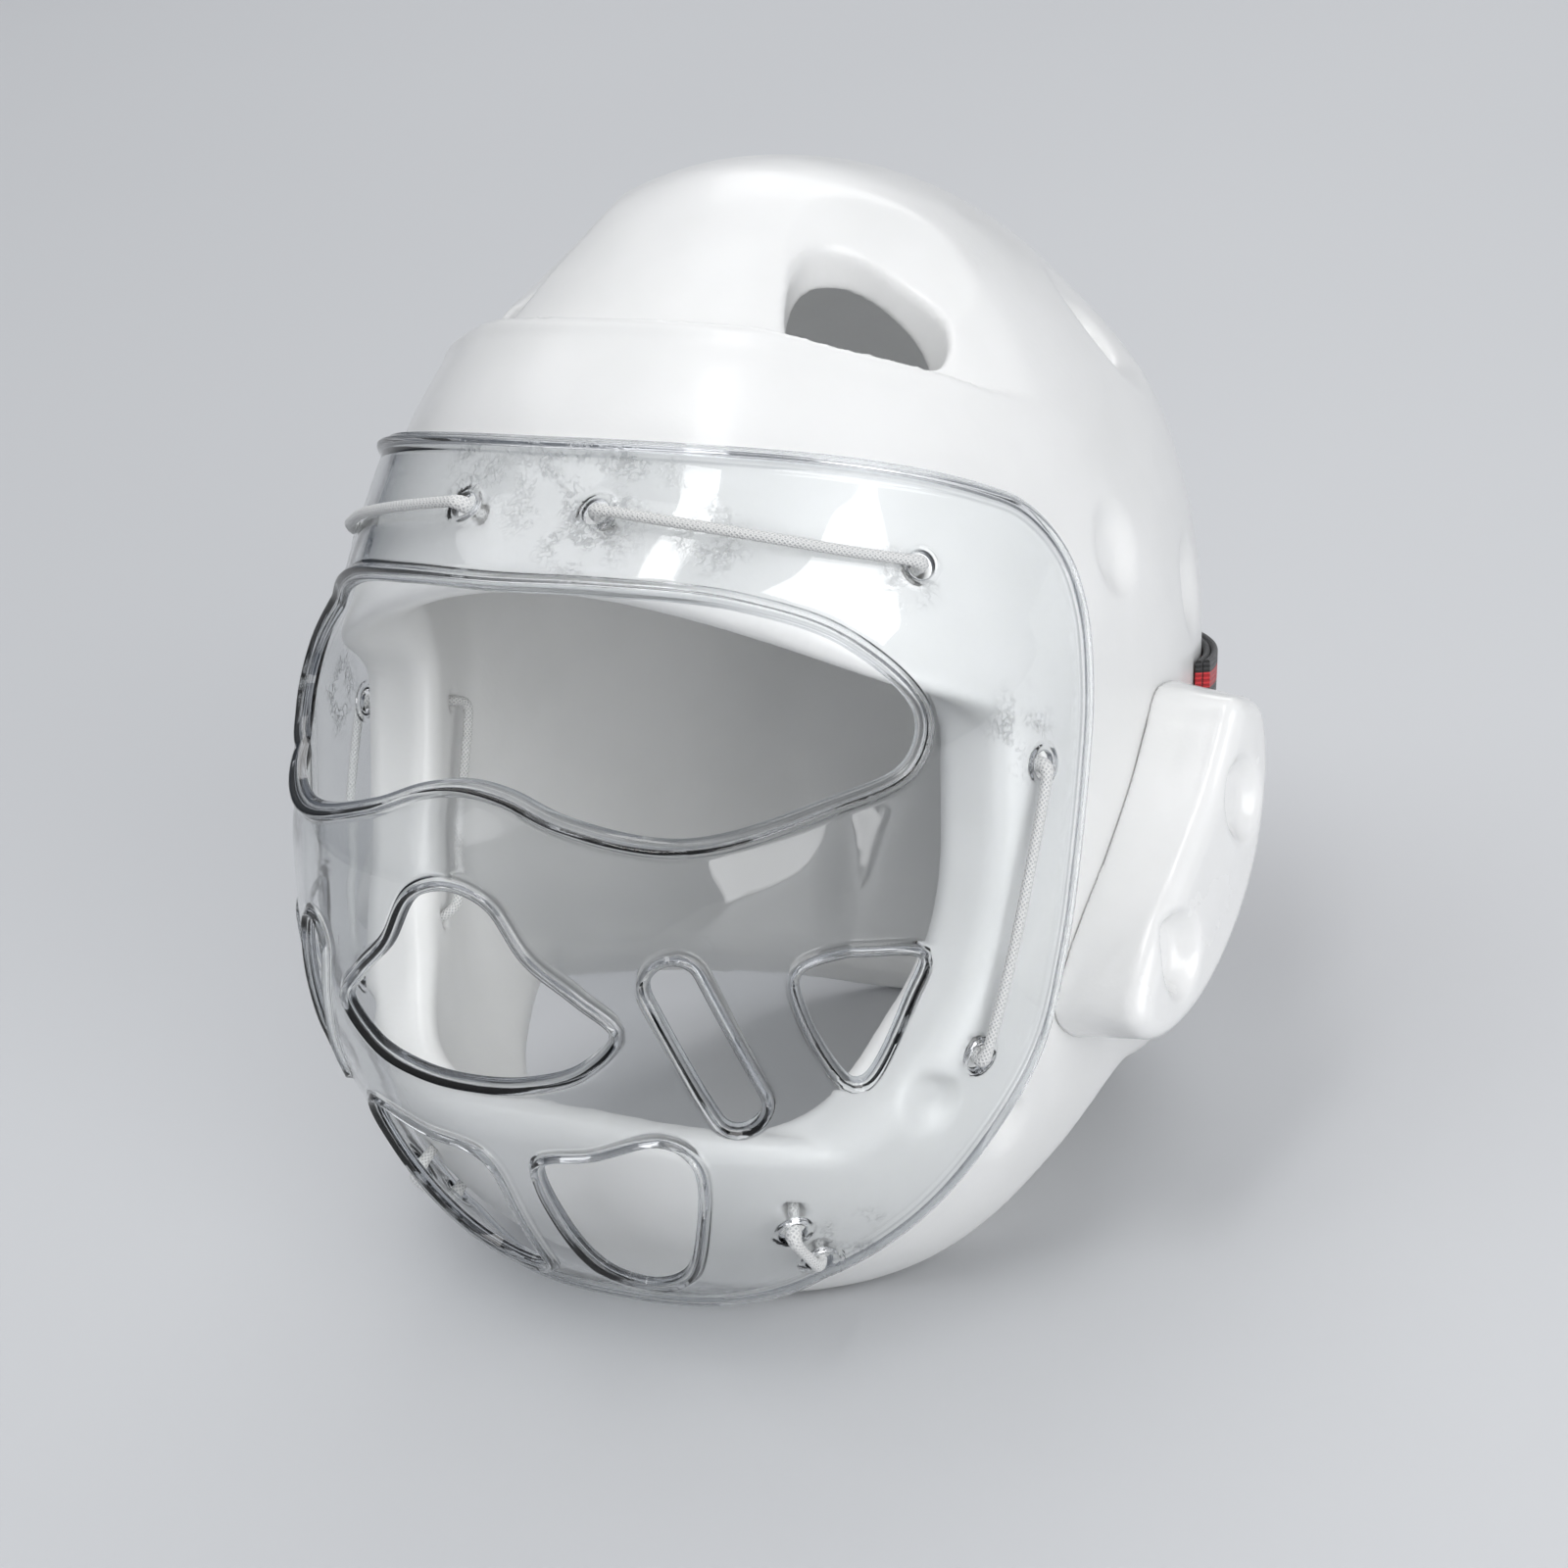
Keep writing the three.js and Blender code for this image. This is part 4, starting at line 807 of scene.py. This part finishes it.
def elastic_material(name):
    """Black woven elastic with two red stripes: lengthwise ribs crossed by a fine weft, with painted shade
    where the weave lies low and painted highlight on the rib tops.
    """
    material, tree, shader = new_material(name)
    along, across = uv_parts(tree)
    rib = wave(tree, across, 1.25)
    weft = wave(tree, math_node(tree, "MULTIPLY_ADD", rib, 0.3, along), 0.8)
    weave = math_node(tree, "MULTIPLY", rib, math_node(tree, "MULTIPLY_ADD", weft, 0.6, 0.4))
    off_middle = math_node(tree, "ABSOLUTE", across)
    off_stripe = math_node(tree, "SUBTRACT", off_middle, STRAP_WIDTH / 2 - STRIPE_FROM_EDGE)
    off_stripe = math_node(tree, "ABSOLUTE", off_stripe)
    stripe = spread(tree, off_stripe, STRIPE_HALF - STRIPE_BLUR, STRIPE_HALF + STRIPE_BLUR, 1.0, 0.0)
    fuzz = noise(tree, object_coordinates(tree), 2600.0, 3.0)
    # Painted shade and highlight: both colours are darker where the weave lies low and lighter on the rib
    # tops
    black = mixed_colour(tree, weave, (0.008, 0.008, 0.009), (0.04, 0.04, 0.043))
    red = mixed_colour(tree, weave, (0.42, 0.008, 0.014), (0.74, 0.02, 0.03))
    threads = mixed_colour(tree, stripe, black, red)
    tree.links.new(mixed_colour(tree, math_node(tree, "MULTIPLY", fuzz, 0.12), threads, (0.2, 0.2, 0.2)),
                   shader.inputs["Base Color"])
    ribs = bump(tree, weave, 0.0004, 0.9)
    tree.links.new(bump(tree, fuzz, 0.0001, 0.5, ribs), shader.inputs["Normal"])
    tree.links.new(spread(tree, weave, 0.0, 1.0, 0.85, 0.6), shader.inputs["Roughness"])
    shader.inputs["Sheen Weight"].default_value = 0.25
    return material


def floor_material(name):
    material, tree, shader = new_material(name)
    at = object_coordinates(tree)
    clouds = spread(tree, noise(tree, at, 1.3, 2.0), 0.3, 0.7)
    paint = mixed_colour(tree, clouds, (0.66, 0.67, 0.685), (0.64, 0.65, 0.665))
    tree.links.new(paint, shader.inputs["Base Color"])
    shader.inputs["Roughness"].default_value = 0.6
    return material


# Foam pieces
foam = foam_material("foam_skin", (0.87, 0.87, 0.862), 0.28, 0.37, 0.14)
pad_foam = foam_material("foam_pad_skin", (0.875, 0.875, 0.868), 0.2, 0.3, 0.3)

field, origin, voxel = shell_field()
points, faces = meshed(field, origin, voxel)
shell = add_piece("foam_shell", points, faces, foam, "headgear_shell")
slimmed(shell, SHELL_TRIANGLES)

field, origin, voxel = pad_field()
points, faces = meshed(field, origin, voxel)
for side, placed in (("left", points), ("right", mirror_points(points))):
    pad = add_piece(f"foam_ear_pad_{side}", placed, faces, pad_foam, f"ear_pad_{side}")


# Face shield: a flat mesh in azimuth and elevation, lifted onto its two faces
def to_flat(outline):
    return outline * np.stack([np.cos(np.radians(outline[:, 1])), np.ones(len(outline))], -1)


def from_flat(points):
    return points / np.stack([np.cos(np.radians(points[:, 1])), np.ones(len(points))], -1)


DEGREE = math.radians(1) * (FRONT_REACH + SHIELD_BULGE / 2)
OUTLINE_STEP = RIM_STEP / DEGREE


def outward(line):
    """Unit normals of a closed flat line, pointing away from what it encloses."""
    ahead = np.roll(line, -1, axis=0) - np.roll(line, 1, axis=0)
    side = np.stack([ahead[:, 1], -ahead[:, 0]], -1) / np.linalg.norm(ahead, axis=1)[:, None]
    turns = np.sum(line[:, 0] * np.roll(line[:, 1], -1) - np.roll(line[:, 0], -1) * line[:, 1])
    return side if turns > 0 else -side


def narrowed(outline, by):
    """An opening's outline moved into the opening by some millimetres."""
    line = to_flat(outline)
    moved = line - outward(line) * by / DEGREE
    kept = -polygon_distance(moved, line) > 0.9 * by / DEGREE
    return from_flat(resampled(moved[kept], OUTLINE_STEP))


def shield_outlines():
    """Outlines with the height, distance and half width of the ridge that runs beside each."""
    both_sides = [
        (narrowed(slot_outline(SLOT_ENDS, SLOT_WIDTH, OUTLINE_STEP), 0.8), 1.3, 1.5, 1.4),
        (narrowed(smooth_outline(TRIANGLE, OUTLINE_STEP), 0.8), 1.3, 1.5, 1.4),
        (narrowed(smooth_outline(CHIN_VENT, OUTLINE_STEP), 0.8), 1.4, 1.6, 1.5),
    ]
    single = [
        (smooth_outline(mirrored(SHIELD_EDGE), OUTLINE_STEP), 2.0, 2.3, 2.0),
        (narrowed(smooth_outline(mirrored(EYE_OPENING), OUTLINE_STEP), 3.4), 2.0, 2.2, 2.0),
        (narrowed(smooth_outline(mirrored(MOUTH_VENT), OUTLINE_STEP), 1.8), 1.5, 1.7, 1.6),
    ]
    pairs = [(turn(line), *ridge) for line, *ridge in both_sides for turn in (np.array, flipped)]
    holes = []
    for pair in LACES.values():
        for azimuth, elevation in pair:
            for side in (1, -1):
                radius = shield_radius(azimuth, elevation)
                hole = oval_outline((side * azimuth, elevation), (HOLE_RADIUS + HOLE_PLAY,) * 2, radius)
                holes.append((resampled(hole, OUTLINE_STEP), 0.3, 1.2, 1.1))
    return single + pairs + holes


def lift(azimuth, elevation, outlines):
    """Height of the ridges, and the distance to the nearest outline."""
    at = place(azimuth, elevation, shield_radius(azimuth, elevation))
    height = np.zeros(len(at))
    nearest = np.full(len(at), np.inf)
    for outline, tall, middle, half in outlines:
        line = place(outline[:, 0], outline[:, 1], shield_radius(outline[:, 0], outline[:, 1]))
        low, high = line.min(0) - RIDGE_MARGIN, line.max(0) + RIDGE_MARGIN
        close = np.where(((at > low) & (at < high)).all(1))[0]
        away = np.full(len(close), np.inf)
        for start, end in zip(line, np.roll(line, -1, axis=0)):
            edge = end - start
            share = np.clip((at[close] - start) @ edge / (edge @ edge), 0, 1)
            away = np.minimum(away, np.linalg.norm(at[close] - start - share[:, None] * edge, axis=1))
        ridge = tall * np.cos(np.pi / 2 * np.clip((away - middle) / half, -1, 1)) ** 2
        height[close] = np.maximum(height[close], ridge)
        nearest[close] = np.minimum(nearest[close], away)
    return height, nearest


def build_shield():
    """The sheet's faces and cut edges, with the distance to the nearest cut and the ridge's height."""
    outlines = shield_outlines()
    flat = [to_flat(outline) for outline, *_ in outlines]

    def solid_share(points):
        """How far flat points lie inside the sheet, in degrees."""
        depth = -polygon_distance(points, flat[0])
        for opening in flat[1:]:
            depth = np.minimum(depth, polygon_distance(points, opening))
        return depth

    corners = []
    edges = []
    count = 0
    for index, line in enumerate(flat):
        into_sheet = outward(line) * (-1 if index == 0 else 1)
        for distance in (0.0, *RIM_LOOPS):
            reach = distance / DEGREE
            loop = line + into_sheet * reach
            kept = solid_share(loop) > 0.9 * reach - LOOP_SLACK / DEGREE
            number = count + np.cumsum(kept) - 1
            edges += [(number[i - 1], number[i]) for i in range(len(loop)) if kept[i - 1] and kept[i]]
            corners.append(loop[kept])
            count += kept.sum()
    step = SHIELD_STEP / DEGREE
    low, high = flat[0].min(0), flat[0].max(0)
    rows = [
        np.stack(np.broadcast_arrays(np.arange(low[0] + (row % 2) * step / 2, high[0], step), v), -1)
        for row, v in enumerate(np.arange(low[1], high[1], step * 0.866))
    ]
    fill = np.concatenate(rows)
    corners.append(fill[solid_share(fill) > RIM_CLEAR / DEGREE])
    corners = np.concatenate(corners)
    edges = [(int(a), int(b)) for a, b in edges]
    made = delaunay_2d_cdt([Vector(point) for point in corners], edges, [], 0, 1e-5)
    flat_points = np.array([tuple(point) for point in made[0]])
    triangles = np.array([tuple(face) for face in made[2] if len(face) == 3])
    middles = flat_points[triangles].mean(1)
    triangles = triangles[solid_share(middles) > 0]
    at = from_flat(flat_points)
    height, off_cut = lift(at[:, 0], at[:, 1], outlines)
    radius = shield_radius(at[:, 0], at[:, 1]) + height
    inner = place(at[:, 0], at[:, 1], radius)
    outer = place(at[:, 0], at[:, 1], radius + SHIELD_THICKNESS)
    count = len(at)
    faces = [tuple(face) for face in triangles] + [tuple(count + face[::-1]) for face in triangles]
    sides = {}
    for a, b, c in triangles:
        for pair in ((a, b), (b, c), (c, a)):
            sides[tuple(sorted(pair))] = None if tuple(sorted(pair)) in sides else pair
    for pair in sides.values():
        if pair is not None:
            a, b = pair
            faces.append((b, a, count + a, count + b))
    coordinates = [[(min(off_cut[k % count], CUT_FAR), height[k % count]) for k in face] for face in faces]
    return np.vstack([outer, inner]), faces, coordinates


def on_shield(azimuth, elevation):
    return tuple(to_rest(place(azimuth, elevation, shield_radius(azimuth, elevation) + SHIELD_THICKNESS / 2)))


# Where the sheet touches the foam: the middle and the radius of each stippled patch, in metres
contacts = [
    (on_shield(-10, 31), 0.016), (on_shield(3, 31), 0.02), (on_shield(14, 31), 0.017),
    (on_shield(10, 25), 0.018), (on_shield(26, 25), 0.012), (on_shield(50, 21), 0.01),
    (on_shield(64, 2), 0.014), (on_shield(-60, 0), 0.014), (on_shield(45, -52), 0.012),
]
clear = shield_material("clear_sheet", contacts)
points, faces, coordinates = build_shield()
shield = add_piece("clear_face_shield", points, faces, clear, "face_shield", coordinates)
shield.data.set_sharp_from_angle(angle=math.radians(SHIELD_CREASE))


# Laces
def lace_route(pair):
    """A closed route: over the shield from hole to hole, and back inside the foam."""
    start, end = (np.array(hole, float) for hole in pair)
    share = np.linspace(0, 1, LACE_POINTS)[:, None]
    at = start * (1 - share) + end * share
    outside = shield_radius(at[:, 0], at[:, 1]) + SHIELD_THICKNESS + LACE_RADIUS + 2 * LACE_GAP
    plain = shell_radius(at[:, 0], at[:, 1])
    wall = wall_at(place(at[:, 0], at[:, 1], plain - WALL))
    inside = plain - wall - LACE_RADIUS - LACE_GAP - LACE_SLACK
    way = place(at[:, 0], at[:, 1], outside)
    back = place(at[:, 0], at[:, 1], inside)[::-1]
    return np.vstack([way, back])


def rounded_loop(route, bend, step):
    """A closed route made even, with its sharp corners rounded off."""
    loop = resampled(route, step)
    passes = max(1, round((bend / step) ** 2))
    for _ in range(passes):
        loop = 0.25 * np.roll(loop, 1, axis=0) + 0.5 * loop + 0.25 * np.roll(loop, -1, axis=0)
    return loop


def tube(loop, radius, sides, knots):
    """A closed tube along a loop, thicker at its knots, with its length and girth as texture coordinates."""
    count = len(loop)
    along = np.roll(loop, -1, axis=0) - np.roll(loop, 1, axis=0)
    along /= np.linalg.norm(along, axis=1)[:, None]
    out = loop - loop.mean(0)
    out -= (out * along).sum(1)[:, None] * along
    out /= np.linalg.norm(out, axis=1)[:, None]
    across = np.cross(along, out)
    length = np.concatenate([[0], np.cumsum(np.linalg.norm(np.diff(loop, axis=0), axis=1))])
    turns = np.linspace(0, 2 * np.pi, sides, endpoint=False)
    winding = 2 * np.pi * length[:, None] / BRAID_PERIOD
    strands = BRAID_STRANDS * turns
    braid = BRAID_RELIEF * np.sin(winding + strands) * np.sin(winding - strands)
    off_knot = np.min([np.linalg.norm(loop - knot, axis=1) for knot in knots], axis=0)
    swelling = LACE_KNOT * np.exp(-(off_knot / LACE_KNOT_REACH) ** 2)
    reach = radius * (1 + braid - BRAID_RELIEF) * (1 + swelling[:, None])
    rings = loop[:, None] + reach[..., None] * (
        np.cos(turns)[None, :, None] * out[:, None] + np.sin(turns)[None, :, None] * across[:, None])
    faces = []
    coordinates = []
    step = length[-1] / (count - 1)
    girth = 2 * np.pi * radius
    for row in range(count):
        here = row * sides
        ahead = (row + 1) % count * sides
        for k in range(sides):
            j = (k + 1) % sides
            faces.append((here + k, here + j, ahead + j, ahead + k))
            a, b = row * step, (row + 1) * step
            c, d = k / sides * girth, (k + 1) / sides * girth
            coordinates.append([(a, c), (a, d), (b, d), (b, c)])
    return rings.reshape(-1, 3), faces, coordinates


cord = lace_material("lace_cord")
for lace, pair in LACES.items():
    loop = rounded_loop(lace_route(pair), LACE_BEND, LACE_STEP)
    knots = np.array([place(*hole, shield_radius(*hole) + SHIELD_THICKNESS) for hole in pair])
    for side, mirror in (("left", np.array), ("right", mirror_points)):
        points, faces, coordinates = tube(mirror(loop), LACE_RADIUS, LACE_SIDES, mirror(knots))
        add_piece(f"cord_{lace}_{side}", points, faces, cord, f"lace_{lace}_{side}", coordinates)


# Elastic strap
def strap_band(steps, lift_out):
    """A curved band with soft edges, from behind the left ear pad round the back."""
    root_back = max(row[2] for row in PAD_OUTLINE)
    start = 90 + math.degrees(math.atan2(PAD_BACK + PAD_HALF[0] * root_back + STRAP_CLEARANCE, HALF_WIDTH))
    step = (360 - 2 * start) / STRAP_STEPS
    stations = np.linspace(start, start + steps * step, steps * STRAP_FINENESS + 1)
    edge = STRAP_THICKNESS / 2
    half = STRAP_WIDTH / 2
    turns = np.radians(np.linspace(-90, 90, 7))
    inner = [(v, 0.0) for v in np.linspace(half - edge, -half + edge, STRAP_ROWS)]
    low = [(-half + edge - edge * math.cos(t), edge + edge * math.sin(t)) for t in turns[1:-1]]
    outer = [(v, STRAP_THICKNESS) for v in np.linspace(-half + edge, half - edge, STRAP_ROWS)]
    high = [(half - edge + edge * math.cos(t), edge - edge * math.sin(t)) for t in turns[1:-1]]
    profile = np.array(inner + low + outer + high)
    heights = profile[:, 0] - STRAP_DROP
    elevation = np.degrees(np.arcsin(heights / BACK_REACH))
    rings = []
    for azimuth in stations:
        radius = shell_radius(np.full(len(profile), azimuth), elevation) + lift_out + profile[:, 1]
        rings.append(place(azimuth, elevation, radius))
    sides = len(profile)
    points = np.concatenate(rings)
    steps_along = [np.linalg.norm(after[0] - before[0]) for before, after in zip(rings, rings[1:])]
    length = np.concatenate([[0], np.cumsum(steps_along)])
    faces = []
    coordinates = []
    for row in range(len(rings) - 1):
        here = row * sides
        ahead = here + sides
        for k in range(sides):
            j = (k + 1) % sides
            faces.append((here + k, here + j, ahead + j, ahead + k))
            a, b = length[row], length[row + 1]
            c, d = profile[k, 0], profile[j, 0]
            coordinates.append([(a, c), (a, d), (b, d), (b, c)])
    last = (len(rings) - 1) * sides
    faces.append(tuple(reversed(range(sides))))
    faces.append(tuple(last + k for k in range(sides)))
    coordinates.append([(length[0], profile[k, 0]) for k in reversed(range(sides))])
    coordinates.append([(length[-1], profile[k, 0]) for k in range(sides)])
    return points, faces, coordinates


elastic = elastic_material("woven_elastic")
for name, node, steps, height in (
    ("elastic_band", "rear_strap", STRAP_STEPS, STRAP_LIFT),
    ("elastic_band_end", "strap_overlap", OVERLAP_STEPS, OVERLAP_LIFT),
):
    points, faces, coordinates = strap_band(steps, height)
    piece = add_piece(name, points, faces, elastic, node, coordinates)
    piece.data.set_sharp_from_angle(angle=math.radians(STRAP_CREASE))


# Floor, lights and camera
floor_mesh = bpy.data.meshes.new("floor")
floor_mesh.from_pydata([(-FLOOR_HALF, -FLOOR_HALF, 0), (FLOOR_HALF, -FLOOR_HALF, 0),
                        (FLOOR_HALF, FLOOR_HALF, 0), (-FLOOR_HALF, FLOOR_HALF, 0)], [], [(0, 1, 2, 3)])
floor_mesh.materials.append(floor_material("floor_paint"))
floor = bpy.data.objects.new("floor", floor_mesh)
bpy.context.scene.collection.objects.link(floor)


def head_axes():
    """Right, up and back of the photograph's camera in the head frame."""
    azimuth, elevation = math.radians(CAMERA["azimuth"]), math.radians(CAMERA["elevation"])
    right = np.array([math.cos(azimuth), math.sin(azimuth), 0.0])
    back = place(CAMERA["azimuth"], CAMERA["elevation"], 1.0)
    return right, np.cross(back, right), back


right, up, back = head_axes()
eye = right * CAMERA["right"] + up * CAMERA["up"] + back * CAMERA["distance"]
camera_data = bpy.data.cameras.new("camera")
camera_data.lens = CAMERA_LENS
camera_data.sensor_width = CAMERA_SENSOR
camera_data.clip_start = 0.01
camera = bpy.data.objects.new("camera", camera_data)
turn = np.stack([REST_TURN @ right, REST_TURN @ up, REST_TURN @ back], -1)
camera.matrix_world = Matrix.Translation(Vector(to_rest(eye))) @ Matrix(turn.tolist()).to_4x4()
bpy.context.scene.collection.objects.link(camera)
bpy.context.scene.camera = camera


def add_softbox(name, direction, distance, size, power):
    """A rectangular light that looks at the headgear from a direction in the floor's frame."""
    data = bpy.data.lights.new(name, "AREA")
    data.shape = "RECTANGLE"
    data.size, data.size_y = size
    data.energy = power
    light = bpy.data.objects.new(name, data)
    toward = Vector(direction).normalized()
    light.location = Vector(LIGHT_AIM) + toward * distance
    light.rotation_euler = toward.to_track_quat("Z", "Y").to_euler()
    bpy.context.scene.collection.objects.link(light)


add_softbox("window", (0.09, -0.27, 0.96), 1.5, (0.26, 0.75), 3.0)
add_softbox("key", (-0.42, -0.12, 1.0), 2.5, (2.0, 2.0), 15)
add_softbox("side", (1.0, -0.5, 0.42), 2.2, (1.5, 1.8), 28)
add_softbox("back", (-0.3, 1.0, 0.8), 2.4, (1.6, 1.0), 9)

world = bpy.data.worlds.new("studio")
world.use_nodes = True
sky = world.node_tree
toward = sky.nodes.new("ShaderNodeTexCoord").outputs["Generated"]
height = add_node(sky, "ShaderNodeSeparateXYZ", {0: toward}).outputs[2]
shade = mixed_colour(sky, spread(sky, height, 0.0, 0.7), (0.11, 0.125, 0.15), (0.46, 0.47, 0.49))
sky.links.new(shade, sky.nodes["Background"].inputs["Color"])
bpy.context.scene.world = world
bpy.context.scene.view_settings.view_transform = "Standard"
